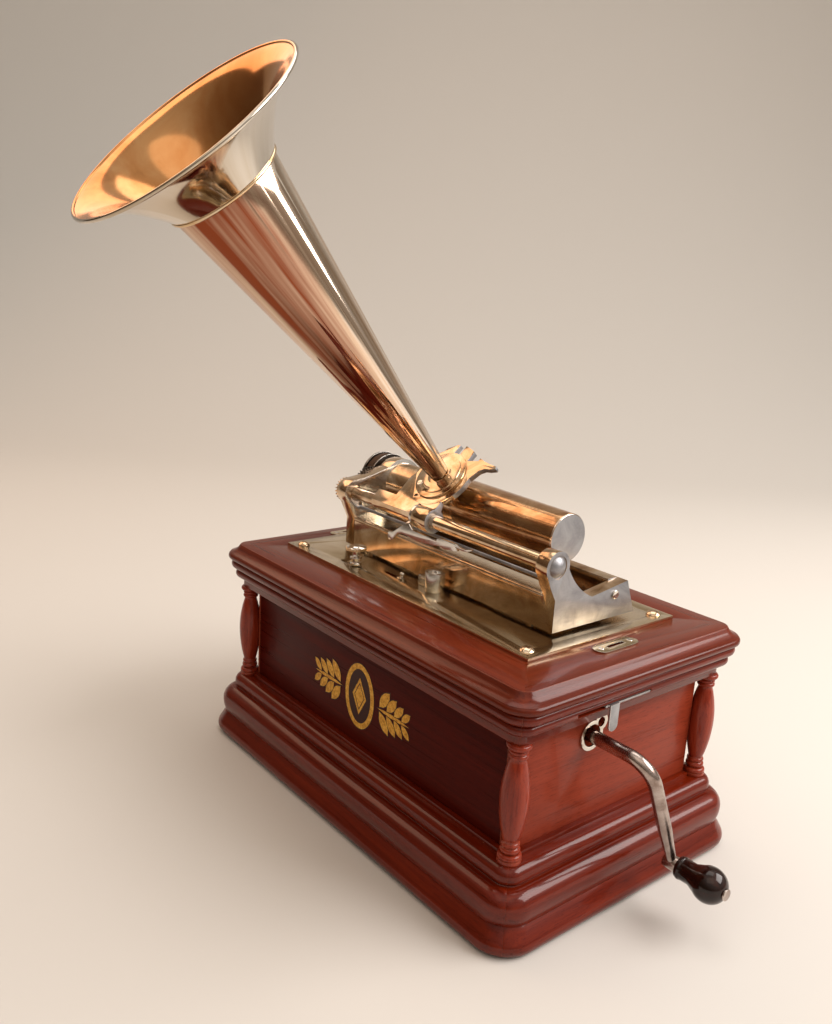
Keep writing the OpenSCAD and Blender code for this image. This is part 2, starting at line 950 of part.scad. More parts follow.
module knob_profile() {
    ball_z = knob_l - knob_r + 0.6;
    collar_r = 0.66 * knob_r;
    cove_z = 0.30 * knob_l;
    difference() {
        union() {
            translate([collar_r - 2.4, 2.4])
                circle(2.4);
            square([collar_r - 2.4, 4.8]);
            square([0.62 * knob_r, ball_z]);
            translate([0, ball_z])
                circle(knob_r);
            polygon([[0, cove_z], [0.62 * knob_r, cove_z], [0.97 * knob_r, ball_z - 3.4], [0, ball_z]]);
        }
        translate([0, knob_l])
            square([knob_r, knob_r]);
        translate([-knob_r, -1])
            square([knob_r + knob_pin_r + run_gap, knob_l + 2]);
    }
}

module crank_knob() {
    color(dark_wood)
        at_crank()
            translate([panel_x + crank_reach + knob_x() + 0.2, 0, -crank_throw])
                rotate([0, 90, 0])
                    rotate_extrude()
                        knob_profile();
}

module belt_slots(z0, h) {
    for (y = [drive_y - seat_r, drive_y + seat_r])
        translate([pulley_mid - belt_w / 2 - 3, y - 5, z0])
            cube([belt_w + 6, 10, h]);
}

module start_slot(z0, h) {
    half = start_pin_r + start_gap;
    translate([start_x - start_travel - half, start_y - half, z0])
        cube([start_travel + 2 * half, 2 * half, h]);
}

module at_bed_screws() {
    for (x = [bed_x0 + bed_screw_x, bed_x1 - bed_screw_x])
        for (y = [bed_y0 + bed_screw_y, bed_y1 - bed_screw_y])
            translate([x, y, z_bed])
                children();
}

module shank_holes() {
    at_bed_screws()
        translate([0, 0, -shank_l - 0.5])
            cylinder(h = shank_l + 1, r = shank_r + 0.1);
}

module top_board() {
    color(wood)
        difference() {
            union() {
                for (side = [0 : 3]) {
                    out = side % 2 == 0 ? hx : hy;
                    half = side % 2 == 0 ? hy : hx;
                    rotate([0, 0, 90 * side]) {
                        translate([out, 0, 0])
                            rotate([90, 0, 0])
                                linear_extrude(2 * half, center = true)
                                    top_profile();
                        translate([out, half, 0])
                            rotate_extrude(angle = 90)
                                right_half() top_profile();
                    }
                }
                translate([-panel_x, -panel_y, z_lid])
                    cube([2 * panel_x, 2 * panel_y, top_h]);
            }
            hinge_recess(z_lid - 1, leaf_t + leaf_gap + leaf_recess + 1);
            belt_slots(z_lid - 1, top_h + 2);
            start_slot(z_lid - 1, top_h + 2);
            translate([speed_x, speed_y, z_lid - 1])
                cylinder(h = top_h + 2, r = speed_r + run_gap);
            shank_holes();
            for (x = [catch_x0, catch_x1])
                translate([x, catch_y, z_top - catch_pocket / 2 + 1])
                    cube([catch_slot_w + 1, catch_slot_l + 1, catch_pocket + 2], center = true);
        }
}

module bedplate() {
    color(nickel)
        difference() {
            translate([bed_x0, bed_y0, z_top])
                cube([bed_x1 - bed_x0, bed_y1 - bed_y0, bed_t]);
            belt_slots(z_top - 1, bed_t + 2);
            start_slot(z_top - 1, bed_t + 2);
            translate([speed_x, speed_y, z_top - 1])
                cylinder(h = bed_t + 2, r = speed_r + run_gap);
            shank_holes();
        }
}

// A low dome of the given radius and height, as a profile for turning
module dome_profile(r, h) {
    ball_r = (r * r + h * h) / (2 * h);
    intersection() {
        translate([0, h - ball_r])
            circle(ball_r);
        square([r, h]);
    }
}

module bedplate_screws() {
    color(nickel)
        at_bed_screws() {
            difference() {
                rotate_extrude()
                    dome_profile(bed_screw_r, bed_screw_h);
                rotate(bed_slot_turn)
                    translate([-bed_screw_r, -bed_slot_w / 2, bed_screw_h - bed_slot_d])
                        cube([2 * bed_screw_r, bed_slot_w, bed_slot_d]);
            }
            translate([0, 0, -shank_l])
                cylinder(h = shank_l + 0.5, r = shank_r);
        }
}

module catch_outline() {
    straight = catch_l - catch_w;
    for (y = [-straight / 2, straight / 2])
        translate([0, y])
            circle(catch_w / 2);
    square([catch_w, straight], center = true);
}

module cover_catch_plates() {
    color(nickel)
        for (x = [catch_x0, catch_x1])
            translate([x, catch_y, z_top])
                linear_extrude(catch_t)
                    difference() {
                        catch_outline();
                        square([catch_slot_w, catch_slot_l], center = true);
                    }
}

module end_outline() {
    difference() {
        polygon([
            [frame_y0, frame_z0], [frame_y1, frame_z0], [frame_y1 - rear_lean, rear_top],
            [scoop_y, scoop_z], [scoop_y, tube_z], [tube_y, tube_z],
            [tube_y - boss_r + 1, tube_z - 4], [tube_y - 0.5 * boss_r, tube_z - 1.25 * boss_r],
            [frame_y0, wall_top]
        ]);
        intersection() {
            translate([
                scoop_y + scoop_lead, scoop_z + sqrt(scoop_r * scoop_r - scoop_lead * scoop_lead)
            ])
                circle(scoop_r);
            translate([tube_y, scoop_z])
                square([scoop_y - tube_y, scoop_r]);
        }
    }
    translate([tube_y, tube_z])
        circle(boss_r);
}

module frame_ledges() {
    along_x(standard_x1, end_x0 + 1) {
        translate([frame_y0, frame_z0])
            square([wall_t + ledge_w, ledge_t]);
        translate([frame_y1 - wall_t - ledge_w, frame_z0])
            square([wall_t + ledge_w, ledge_t]);
        translate([frame_y0, frame_z0])
            square([wall_t, wall_h]);
        polygon([
            [frame_y1 - wall_t, frame_z0], [frame_y1, frame_z0], [frame_y1 - rear_lean, rear_top],
            [frame_y1 - rear_lean - wall_t, rear_top]
        ]);
        translate([frame_y1 - rear_lean - rear_flange, rear_top - wall_t])
            square([rear_flange, wall_t]);
    }
}

module works_frame() {
    foot_y = wall_t + ledge_w / 2;
    color(nickel)
        difference() {
            union() {
                along_x(end_x0, frame_x1)
                    end_outline();
                frame_ledges();
                rod_x(standard_x1, lip_x1, frame_y0 + wall_t / 2, wall_top, lip_r);
                translate([lip_x1, frame_y0 + wall_t / 2, wall_top])
                    sphere(lip_r);
                for (x = [standard_x1 + foot_in, end_x0 - foot_in])
                    for (y = [frame_y0 + foot_y, frame_y1 - foot_y])
                        translate([x, y, z_bed])
                            cylinder(h = frame_gap + 1, r = foot_r);
            }
            rod_x(end_x0 - 1, tube_x1, tube_y, tube_z, tube_r + seat_gap);
            rod_x(end_x0 - 1, end_x0 + 4, rod_y, rod_z, rod_r + seat_gap);
            rod_x(frame_x1 - cap_recess, frame_x1 + 1, tube_y, tube_z, cap_r + 0.8);
        }
}

module standard_outline() {
    from = [mandrel_y, mandrel_z + housing_r];
    to = [tube_y, tube_z + boss_r];
    hollow = [0, 4 * standard_sag];
    steps = 10;
    translate([tube_y, tube_z])
        circle(boss_r);
    translate([mandrel_y, mandrel_z])
        circle(housing_r);
    polygon(concat(
        [
            [frame_y0, frame_z0], [frame_y1, frame_z0], [frame_y1 - rear_lean, rear_top],
            [mandrel_y + housing_r, mandrel_z]
        ],
        [for (i = [0 : steps])
            let (t = i / steps)
            from * (1 - t) + to * t - hollow * t * (1 - t)],
        [[tube_y - boss_r, tube_z], [frame_y0, wall_top]]
    ));
}

module left_standard() {
    color(nickel) {
        difference() {
            union() {
                along_x(standard_x0, standard_x1)
                    standard_outline();
                rod_x(standard_x1 - 1, mandrel_x0 - foot_r, mandrel_y, mandrel_z, barrel_bearing_r);
                for (y = [frame_y0 + standard_t, frame_y1 - standard_t])
                    translate([standard_x0 + standard_t / 2, y, z_bed])
                        cylinder(h = frame_gap + 1, r = foot_r);
            }
            rod_x(standard_x0 - 1, mandrel_x1, mandrel_y, mandrel_z, mandrel_shaft_r + run_gap);
            rod_x(standard_x0 - 1, standard_x1 + 1, tube_y, tube_z, tube_r + seat_gap);
            rod_x(standard_x1 - 4, standard_x1 + 1, rod_y, rod_z, rod_r + seat_gap);
        }
        rod_x(gear_x0 - 1, standard_x0 + 1, idler_y, idler_z, stud_r);
    }
}

module guide_tube() {
    color(nickel)
        difference() {
            rod_x(standard_x0, tube_x1, tube_y, tube_z, tube_r);
            rod_x(standard_x0 - 1, tube_x1 + 1, tube_y, tube_z, tube_bore_r);
            translate([standard_x1 + 8, tube_y - tube_slot_w / 2, tube_z - tube_r - 1])
                cube([lip_x1 - standard_x1 - 12, tube_slot_w, tube_r + 1]);
        }
}

module guide_rod() {
    color(satin)
        rod_x(standard_x1 - 4, end_x0 + 4, rod_y, rod_z, rod_r);
}

module pivot_cap() {
    color(satin)
        turned_x(frame_x1 - cap_recess, tube_y, tube_z)
            dome_profile(cap_r, cap_h + cap_recess);
}

module lever_post() {
    color(nickel)
        translate([post_x, post_y, z_bed])
            difference() {
                union() {
                    intersection() {
                        cylinder(h = post_h, r = post_r);
                        translate([-post_r, -post_r, 0])
                            cube([2 * post_r, 1.7 * post_r, post_h]);
                    }
                    translate([-post_tab_l, -post_tab_t / 2, 0])
                        cube([post_tab_l, post_tab_t, 0.55 * post_h]);
                }
                translate([0, -1, post_h - post_seat])
                    cylinder(h = post_seat + 1, r = 0.62 * post_r);
            }
}

module start_lever() {
    color(nickel)
        translate([start_x, start_y, 0]) {
            translate([0, 0, z_lid - 4])
                cylinder(h = z_bed + 8 - z_lid, r = start_pin_r);
            translate([0, 0, z_bed + 2 * start_knob_r])
                sphere(start_knob_r);
            translate([0, 0, z_bed + start_gap + start_plate_t / 2])
                cube([start_plate_l, start_plate_w, start_plate_t], center = true);
        }
}

module speed_screw() {
    head_z = z_bed + speed_rise;
    cone_h = 0.6 * speed_head_h;
    color(nickel)
        translate([speed_x, speed_y, 0]) {
            translate([0, 0, speed_tip])
                cylinder(h = head_z - speed_tip, r = speed_r);
            translate([0, 0, z_bed + start_gap])
                cylinder(h = speed_collar_h, r = speed_collar_r);
            translate([0, 0, z_bed + 0.42 * speed_rise])
                cylinder(h = speed_collar_h, r = speed_collar_r);
            translate([0, 0, head_z - cone_h])
                cylinder(h = cone_h, r1 = speed_r, r2 = 0.6 * speed_head_r);
            translate([0, 0, head_z])
                cylinder(h = speed_head_h, r = speed_head_r);
        }
}

module mandrel() {
    edge = 0.8;
    color(nickel)
        difference() {
            union() {
                translate([mandrel_x0, mandrel_y, mandrel_z])
                    rotate([0, 90, 0])
                        cylinder(h = mandrel_l - edge, r1 = mandrel_r0, r2 = mandrel_r1);
                translate([mandrel_x1 - edge, mandrel_y, mandrel_z])
                    rotate([0, 90, 0])
                        cylinder(h = edge, r1 = mandrel_r1, r2 = mandrel_r1 - edge);
            }
            rod_x(mandrel_x0 - 1, mandrel_x1 - 12, mandrel_y, mandrel_z, mandrel_shaft_r + seat_gap);
        }
}

module mandrel_shaft() {
    color(steel)
        rod_x(pulley_x0 - 6, mandrel_x1 - 12, mandrel_y, mandrel_z, mandrel_shaft_r);
}

// A flanged belt pulley at any axis, with five lightening holes
module belt_pulley(y, z, bore_r) {
    difference() {
        union() {
            rod_x(pulley_x0, pulley_x0 + pulley_w, y, z, seat_r);
            rod_x(pulley_x0, pulley_x0 + rim_t, y, z, pulley_r);
            rod_x(pulley_x0 + pulley_w - rim_t, pulley_x0 + pulley_w, y, z, pulley_r);
        }
        rod_x(pulley_x0 - 1, pulley_x0 + pulley_w + 1, y, z, bore_r);
        for (a = [0 : 72 : 288])
            rod_x(pulley_x0 - 1, pulley_x0 + pulley_w + 1,
                y + 0.62 * seat_r * cos(a), z + 0.62 * seat_r * sin(a), 0.19 * seat_r);
    }
}

module mandrel_pulley() {
    color(steel)
        belt_pulley(mandrel_y, mandrel_z, mandrel_shaft_r + seat_gap);
}

// Straight-flanked gear outline; tooth 0 points along the given turn
module gear_outline(teeth, m, turn) {
    pitch_r = teeth * m / 2;
    tip_r = pitch_r + 0.85 * m;
    root_r = pitch_r - 1.15 * m;
    half = 90 / teeth;
    polygon([
        for (i = [0 : teeth - 1])
            for (p = [[root_r, -1.1], [tip_r, -0.42], [tip_r, 0.42], [root_r, 1.1]])
                p[0] * [cos(turn + 4 * half * i + p[1] * half), sin(turn + 4 * half * i + p[1] * half)]
    ]);
}

module gear(x0, w, y, z, teeth, m, turn) {
    along_x(x0, x0 + w)
        translate([y, z])
            gear_outline(teeth, m, turn);
}

module mandrel_gear() {
    color(brass)
        difference() {
            gear(gear_x0, gear_w, mandrel_y, mandrel_z, small_teeth, gear_m, axis_turn);
            rod_x(gear_x0 - 1, gear_x0 + gear_w + 1, mandrel_y, mandrel_z,
                mandrel_shaft_r + seat_gap);
        }
}

module idler_gear() {
    color(brass)
        difference() {
            gear(gear_x0, gear_w, idler_y, idler_z, idler_teeth, gear_m,
                axis_turn + 180 + 180 / idler_teeth);
            rod_x(gear_x0 - 1, gear_x0 + gear_w + 1, idler_y, idler_z, stud_r + run_gap);
        }
}

module feed_gear() {
    color(brass)
        difference() {
            gear(gear_x0, gear_w, tube_y, tube_z, small_teeth, gear_m, axis_turn + 180);
            rod_x(gear_x0 - 1, gear_x0 + gear_w + 1, tube_y, tube_z, stud_r + seat_gap);
        }
}

module feed_screw() {
    color(steel) {
        rod_x(gear_x0 - 2, standard_x0 + 1, tube_y, tube_z, stud_r);
        rod_x(standard_x0, standard_x1 - 2, tube_y, tube_z, journal_r);
        rod_x(standard_x1 - 3, end_x0 - 8, tube_y, tube_z, screw_r);
        rod_x(end_x0 - 9, tube_x1 - 0.5, tube_y, tube_z, journal_r);
    }
}

module belt_loop(r) {
    for (p = [[mandrel_y, mandrel_z], [drive_y, drive_z]])
        translate(p)
            circle(r);
    translate([drive_y - r, drive_z])
        square([2 * r, mandrel_z - drive_z]);
}

module drive_belt() {
    inner = seat_r + belt_gap;
    color(leather)
        along_x(pulley_mid - belt_w / 2, pulley_mid + belt_w / 2)
            difference() {
                belt_loop(inner + belt_t);
                belt_loop(inner);
            }
}

module half_nut() {
    nut_l = 20;
    nut_gap = 0.1;
    x0 = horn_x - 0.7 * nut_l;
    color(brass)
        intersection() {
            translate([x0, tube_y - tube_slot_w / 2 + nut_gap, tube_z - tube_r])
                cube([nut_l, tube_slot_w - 2 * nut_gap, tube_r]);
            difference() {
                rod_x(x0, x0 + nut_l, tube_y, tube_z, tube_r - nut_gap);
                rod_x(x0 - 1, x0 + nut_l + 1, tube_y, tube_z, screw_r + 3 * nut_gap);
            }
        }
}

// Leans the horn, plate and reproducer; inside, y runs up the plate and z along the horn axis
module leaned() {
    rotate(horn_turn)
        children();
}

module at_horn(n) {
    leaned()
        translate([horn_x, horn_s, n])
            children();
}

// In (along the tube, up the plate): the reproducer ring, the arm over the sleeve, and a back lobe
// with a pointed lip and two notches
module plate_outline() {
    left_x = arm_x0 + 0.4;
    right_x = sleeve_x1 - 0.4;
    front_s = tube_s + 1.4 * sleeve_r;
    inner = 0.9 * ring_r;
    notch_r = 4;
    difference() {
        union() {
            translate([horn_x, horn_s])
                circle(ring_r);
            polygon([
                [left_x, front_s], [right_x, front_s], [right_x, horn_s - 10], [horn_x, horn_s],
                [horn_x - 0.8 * inner, horn_s + 0.6 * inner], [left_x, horn_s - 10]
            ]);
            translate([horn_x, horn_s])
                polygon([
                    [0, 0], [-ring_r + 5, 10], [-21, 22], [-18.4, 29.4], [-10.3, 35.4], [-4.9, 37.8],
                    [0.9, 37.7], [12.5, 34.7], [27, 28.9], [35.1, 26.7], [43, 25.5], [50.6, 25.3],
                    [52, 22.8], [46.5, 20.5], [40.5, 19.6], [ring_r + 3.5, 16], [ring_r - 0.5, 6]
                ]);
        }
        translate([horn_x, horn_s]) {
            circle(ring_hole_r);
            translate([-2.5, flange_r + 3])
                circle(notch_r);
            translate([-2.5 - notch_r, flange_r + 3])
                square([2 * notch_r, ring_r]);
            polygon([[15.2, 22.3], [15.9, ring_r + 8], [27, ring_r + 8], [27.6, 25.5]]);
        }
    }
}

// Pear-shaped end of the sleeve, in (up the plate, along the horn)
module sleeve_outline(r, reach) {
    tail = 0.3;
    difference() {
        union() {
            translate([tube_s, tube_n])
                circle(r);
            polygon([
                [tube_s, tube_n], [tube_s + 0.9 * r, tube_n],
                [tube_s + reach, plate_n - plate_t + tail], [tube_s + reach, plate_n - tail],
                [tube_s - 0.45 * r, plate_n - tail], [tube_s - 0.87 * r, tube_n + 0.47 * r]
            ]);
        }
        translate([tube_s, tube_n])
            circle(tube_r + run_gap);
    }
}

module carriage() {
    color(nickel)
        difference() {
            union() {
                leaned()
                    translate([0, 0, plate_n - plate_t])
                        linear_extrude(plate_t)
                            plate_outline();
                leaned() {
                    along_x(collar_x + collar_w / 2, sleeve_x1)
                        sleeve_outline(sleeve_r, sleeve_tail);
                    along_x(arm_x0, collar_x + collar_w)
                        sleeve_outline(bar_r, sleeve_tail);
                    along_x(sleeve_x0, arm_x0 + 1)
                        sleeve_outline(bar_r, bar_tail);
                }
            }
            rod_x(collar_x - collar_gap, collar_x + collar_w + collar_gap, tube_y, tube_z,
                collar_r + 2 * collar_gap);
            leaned()
                translate([horn_x - 11.9, tube_s + 15, plate_n - plate_t - 1])
                    cylinder(h = plate_t + 2, r = 1.7);
        }
}

// Outline in (x from the collar, z from the guide tube axis): a round thumb end, a forked waist
// at the collar, a spring blade and its curled tip
module lever_outline() {
    translate([-21.4, -21.7])
        circle(lever_r);
    polygon([
        [-20, -25.4], [-15, -21], [-11.6, -17.1], [-4, -15.6], [4.3, -15.8], [15.8, -17.4],
        [44.4, -14.3], [45.3, -10.5], [9.4, -8.9], [4.6, -4.6], [-1, -5], [-10.6, -12.1],
        [-18, -17.2], [-23.5, -18]
    ]);
    polygon([[43, -8.4], [47.5, -6.4], [65, -6.4], [70.2, -11.8], [53.6, -14.5], [43, -12.8]]);
    intersection() {
        translate([75.7, hook_r - 9.9])
            difference() {
                circle(hook_r);
                circle(hook_r - hook_t);
            }
        translate([63, -11])
            square([26, 4.6]);
    }
}

// The collar turns in a slit in the sleeve; its lug carries the lever in front of the sleeve
module lift_lever() {
    color(satin) {
        translate([collar_x + lever_ahead, tube_y - lever_y, tube_z])
            rotate([90, 0, 0])
                linear_extrude(lever_t)
                    lever_outline();
        along_x(collar_x, collar_x + collar_w)
            translate([tube_y, tube_z])
                difference() {
                    union() {
                        circle(collar_r);
                        polygon([
                            [0, 0], [-lever_y - lever_t + 0.3, -5.4], [-lever_y - lever_t + 0.3, -15],
                            [-lever_y + 0.5, -15]
                        ]);
                    }
                    circle(tube_r + run_gap);
                }
    }
}

module reproducer_profile() {
    step_r = flange_r - 5;
    body_r = ring_hole_r - 0.3;
    cavity_r = body_r - 2;
    difference() {
        union() {
            square([flange_r, flange_t]);
            translate([0, -body_drop])
                square([body_r, body_drop + 1]);
            square([step_r, flange_t + 0.4 * dome_h]);
            translate([0, flange_t])
                dome_profile(dome_r, dome_h);
            square([neck_r, flange_t + dome_h + neck_h]);
        }
        translate([0, -3])
            square([neck_r - 1.4, flange_t + dome_h + neck_h + 4]);
        translate([0, -body_drop - 1])
            square([cavity_r, body_drop - 1]);
    }
}

module reproducer_body() {
    color(nickel)
        at_horn(plate_n)
            rotate_extrude()
                reproducer_profile();
}

module diaphragm() {
    cavity_r = ring_hole_r - 2.3;
    color("gainsboro")
        at_horn(plate_n - 4.6)
            cylinder(h = 2.5, r = cavity_r - 0.05);
}

module stylus_bar() {
    color(steel)
        at_horn(plate_n - body_drop - 0.2) {
            cylinder(h = 6.55, r = 1);
            translate([-1.2, -14, -1])
                cube([2.4, 16, 1.6]);
            translate([0, 0, -3])
                cylinder(h = 3, r1 = 0.4, r2 = 1.1);
        }
}

// Outer curve of the bell in (radius, height), and the way into its wall, for t from seam to mouth
function bell_point(t) = [
    horn_r1 + (bell_r - horn_r1) * (1 - pow(1 - t, bell_flare_share)),
    cone_l + bell_l * (1 - pow(1 - t, 2))
];
function bell_inward(t) =
    let (
        out = bell_flare_share * pow(1 - t, bell_flare_share - 1) * (bell_r - horn_r1),
        up = 2 * (1 - t) * bell_l
    )
    [-up, out] / sqrt(up * up + out * out);

module horn_cone() {
    color(nickel)
        at_horn(horn_n)
            rotate_extrude()
                polygon([
                    [horn_r0 - horn_t, 0], [horn_r0, 0], [horn_r1, cone_l], [horn_r1 - horn_t, cone_l]
                ]);
}

module horn_bell() {
    steps = 14;
    places = [for (i = [0 : steps]) bell_mouth_share * i / steps];
    mouth = bell_point(bell_mouth_share);
    color(nickel)
        at_horn(horn_n)
            rotate_extrude() {
                polygon(concat(
                    [for (t = places) bell_point(t)],
                    [for (i = [steps : -1 : 0]) bell_point(places[i]) + horn_t * bell_inward(places[i])]
                ));
                translate([horn_r1 - horn_t, cone_l])
                    square([horn_t, roll_r]);
                translate([mouth[0], mouth[1] + horn_t / 2])
                    circle(roll_r);
                translate([horn_r1, cone_l + roll_r])
                    circle(roll_r);
            }
}

module motor_plate(x, foot_x) {
    bores = [
        [pivot_y, pivot_z, arbor_r], [second_y, second_z, train_r], [drive_y, drive_z, train_r],
        [governor_y, governor_z, spindle_r]
    ];
    difference() {
        union() {
            along_x(x, x + motor_plate_t)
                polygon([
                    [plate_y0, plate_z0 + 40], [plate_y0 + 34, plate_z0], [plate_y1 - 24, plate_z0],
                    [plate_y1, plate_z0 + 30], [plate_y1, z_lid], [plate_y0, z_lid]
                ]);
            translate([foot_x, plate_y0, z_lid - motor_plate_t])
                cube([motor_foot, plate_y1 - plate_y0, motor_plate_t]);
        }
        for (b = bores)
            rod_x(x - 1, x + motor_plate_t + 1, b[0], b[1], b[2] + run_gap);
    }
}

module motor_plate_right() {
    color(brass)
        motor_plate(motor_x1, motor_x1);
}

module motor_plate_left() {
    color(brass)
        motor_plate(motor_x0 - motor_plate_t, motor_x0 - motor_foot);
}

module motor_pillars() {
    color(steel)
        for (p = [[plate_y0 + 8, plate_z0 + 50], [plate_y0 + 38, plate_z0 + 8],
            [plate_y1 - 26, plate_z0 + 8], [plate_y1 - 8, z_lid - 12]])
            rod_x(motor_x0, motor_x1, p[0], p[1], pillar_r);
}

module ratchet_outline(r, teeth) {
    polygon([
        for (i = [0 : teeth - 1])
            for (p = [[r - 2.6, 0], [r, 0.86]])
                p[0] * [cos(360 * (i + p[1]) / teeth), sin(360 * (i + p[1]) / teeth)]
    ]);
}

module winding_arbor() {
    x_wheel = motor_x1 + motor_plate_t + 2;
    color(steel)
        difference() {
            union() {
                rod_x(motor_x0 - motor_plate_t, arbor_x1, pivot_y, pivot_z, arbor_r);
                along_x(x_wheel, x_wheel + ratchet_w)
                    translate([pivot_y, pivot_z])
                        ratchet_outline(ratchet_r, ratchet_teeth);
            }
            translate([arbor_x1 - dog_l - 0.2, pivot_y, pivot_z])
                rotate([crank_lean, 0, 0])
                    translate([0, -dog_w / 2 - 0.25, -20])
                        cube([dog_l + 2, dog_w + 0.5, 40]);
        }
}

module ratchet_pawl() {
    x0 = motor_x1 + motor_plate_t;
    reach = ratchet_r + 0.35;
    color(steel)
        translate([0, pivot_y, pivot_z]) {
            along_x(x0 + 2.2, x0 + 5.8)
                polygon([
                    [reach - 0.2, -1], [reach + 5, -2], [reach + 9, 14], [reach + 4, 16], [reach + 2, 3]
                ]);
            rod_x(x0, x0 + 6.4, reach + 6.5, 15, 3.4);
        }
}

module spring_barrel() {
    color(brass)
        difference() {
            union() {
                rod_x(barrel_x0, barrel_x1, pivot_y, pivot_z, barrel_r);
                gear(barrel_x1 - barrel_lap, barrel_gear_w, pivot_y, pivot_z, barrel_teeth, barrel_m,
                    second_turn);
            }
            rod_x(barrel_x0 + barrel_wall, barrel_x1 - barrel_wall, pivot_y, pivot_z, barrel_r - barrel_wall);
            rod_x(barrel_x0 - 1, barrel_x1 + barrel_gear_w, pivot_y, pivot_z, arbor_r + run_gap);
        }
}

module mainspring() {
    strip_t = 0.8;
    r0 = arbor_r + 3;
    r1 = barrel_r - barrel_wall - spring_gap - strip_t;
    steps = 24 * spring_turns;
    gap = (r1 - r0) / spring_turns - strip_t;
    echo(mainspring_gap = gap);
    color(steel)
        along_x(barrel_x0 + 4, barrel_x1 - 4)
            translate([pivot_y, pivot_z])
                polygon(concat(
                    [for (i = [0 : steps])
                        (r0 + (r1 - r0) * i / steps) * [cos(15 * i), sin(15 * i)]],
                    [for (i = [steps : -1 : 0])
                        (r0 + strip_t + (r1 - r0) * i / steps) * [cos(15 * i), sin(15 * i)]]
                ));
}

module second_wheel() {
    color(brass) {
        rod_x(motor_x0 - motor_plate_t, motor_x1 + motor_plate_t, second_y, second_z, train_r);
        gear(barrel_x1 - 2 * barrel_lap, barrel_gear_w + 2 * barrel_lap, second_y, second_z,
            second_pinion, barrel_m, second_turn + 180 + 180 / second_pinion);
        gear(second_x, second_w, second_y, second_z, second_teeth, second_m, drive_turn);
    }
}

module drive_pulley() {
    color(steel) {
        rod_x(pulley_x0 - 2, motor_x1 + motor_plate_t, drive_y, drive_z, train_r);
        gear(second_x - pinion_lap, second_w + 2 * pinion_lap, drive_y, drive_z, drive_pinion, second_m,
            drive_turn + 180 + 180 / drive_pinion);
        gear(drive_x, drive_w, drive_y, drive_z, drive_teeth, drive_m, governor_turn);
        belt_pulley(drive_y, drive_z, train_r - 0.5);
    }
}

module governor_spindle() {
    color(steel) {
        rod_x(motor_x0 - motor_plate_t, motor_x1 + motor_plate_t, governor_y, governor_z, spindle_r);
        gear(drive_x - pinion_lap, drive_w + 2 * pinion_lap, governor_y, governor_z, governor_pinion,
            drive_m, governor_turn + 180 + 180 / governor_pinion);
        rod_x(disc_x, disc_x + disc_t, governor_y, governor_z, disc_r);
        for (x = [governor_x - weight_half, governor_x + weight_half - hub_l])
            rod_x(x, x + hub_l, governor_y, governor_z, hub_r);
    }
}

module governor_weights() {
    low = hub_r + 0.1;
    high = low + weight_spring_t;
    hub = weight_half - hub_l;
    top = weight_rise + weight_spring_t;
    lap = 0.2;
    color(brass)
        translate([governor_x, governor_y, governor_z])
            for (a = [0 : 120 : 240])
                rotate([a, 0, 0]) {
                    rotate([90, 0, 0])
                        linear_extrude(weight_r, center = true)
                            polygon([
                                [-weight_half, low], [-hub, low], [-weight_flat, weight_rise],
                                [weight_flat, weight_rise], [hub, low], [weight_half, low],
                                [weight_half, high], [hub + lap, high], [weight_flat + lap, top],
                                [-weight_flat - lap, top], [-hub - lap, high], [-weight_half, high]
                            ]);
                    translate([0, 0, top + 1.2])
                        sphere(weight_r);
                }
}

module brake_bracket() {
    cheek_t = 2.5;
    color(steel) {
        for (x = [disc_x - 3 - cheek_t, disc_x + disc_t + 3])
            translate([x, brake_y - 4, brake_z - 6])
                cube([cheek_t, 8, z_lid - brake_z + 6]);
        rod_x(disc_x - 3.5, disc_x + disc_t + 3.5, brake_y, brake_z, brake_pin_r);
    }
}

module brake_lever() {
    bar_w = disc_t + 2;
    bar_x = disc_x - 1;
    pad_z = governor_z + disc_r + brake_gap;
    color(steel)
        difference() {
            union() {
                translate([bar_x, speed_y - bar_end, brake_z - bar_h / 2])
                    cube([bar_w, governor_y - speed_y + 2 * bar_end, bar_h]);
                translate([speed_x - bar_end, speed_y - bar_end, brake_z - bar_h / 2])
                    cube([bar_x - speed_x + bar_end + 1, 2 * bar_end, bar_h]);
                translate([bar_x, governor_y - bar_end, pad_z])
                    cube([bar_w, 2 * bar_end, brake_z - pad_z]);
            }
            rod_x(bar_x - 1, bar_x + bar_w + 1, brake_y, brake_z, brake_pin_r + run_gap);
        }
}

base_board();
plinth_strips();
torus_strips();
foot_strips();
front_panel();
back_panel();
left_panel();
right_panel();
corner_columns();
frieze_strips();
crank_escutcheon();
crank_bush();
lower_hinge_leaves();
hinge_pins();
latch_slide();
crank_arm();
crank_knob();
top_board();
upper_hinge_leaves();
latch_keeper();
bedplate();
bedplate_screws();
cover_catch_plates();
works_frame();
left_standard();
guide_tube();
guide_rod();
pivot_cap();
lever_post();
start_lever();
speed_screw();
mandrel();
mandrel_shaft();
mandrel_pulley();
mandrel_gear();
idler_gear();
feed_screw();
feed_gear();
drive_belt();
half_nut();
carriage();
lift_lever();
reproducer_body();
diaphragm();
stylus_bar();
horn_cone();
horn_bell();
motor_plate_right();
motor_plate_left();
motor_pillars();
winding_arbor();
ratchet_pawl();
spring_barrel();
mainspring();
second_wheel();
drive_pulley();
governor_spindle();
governor_weights();
brake_bracket();
brake_lever();
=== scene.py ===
import json
import math
import bpy
from mathutils import Matrix, Vector


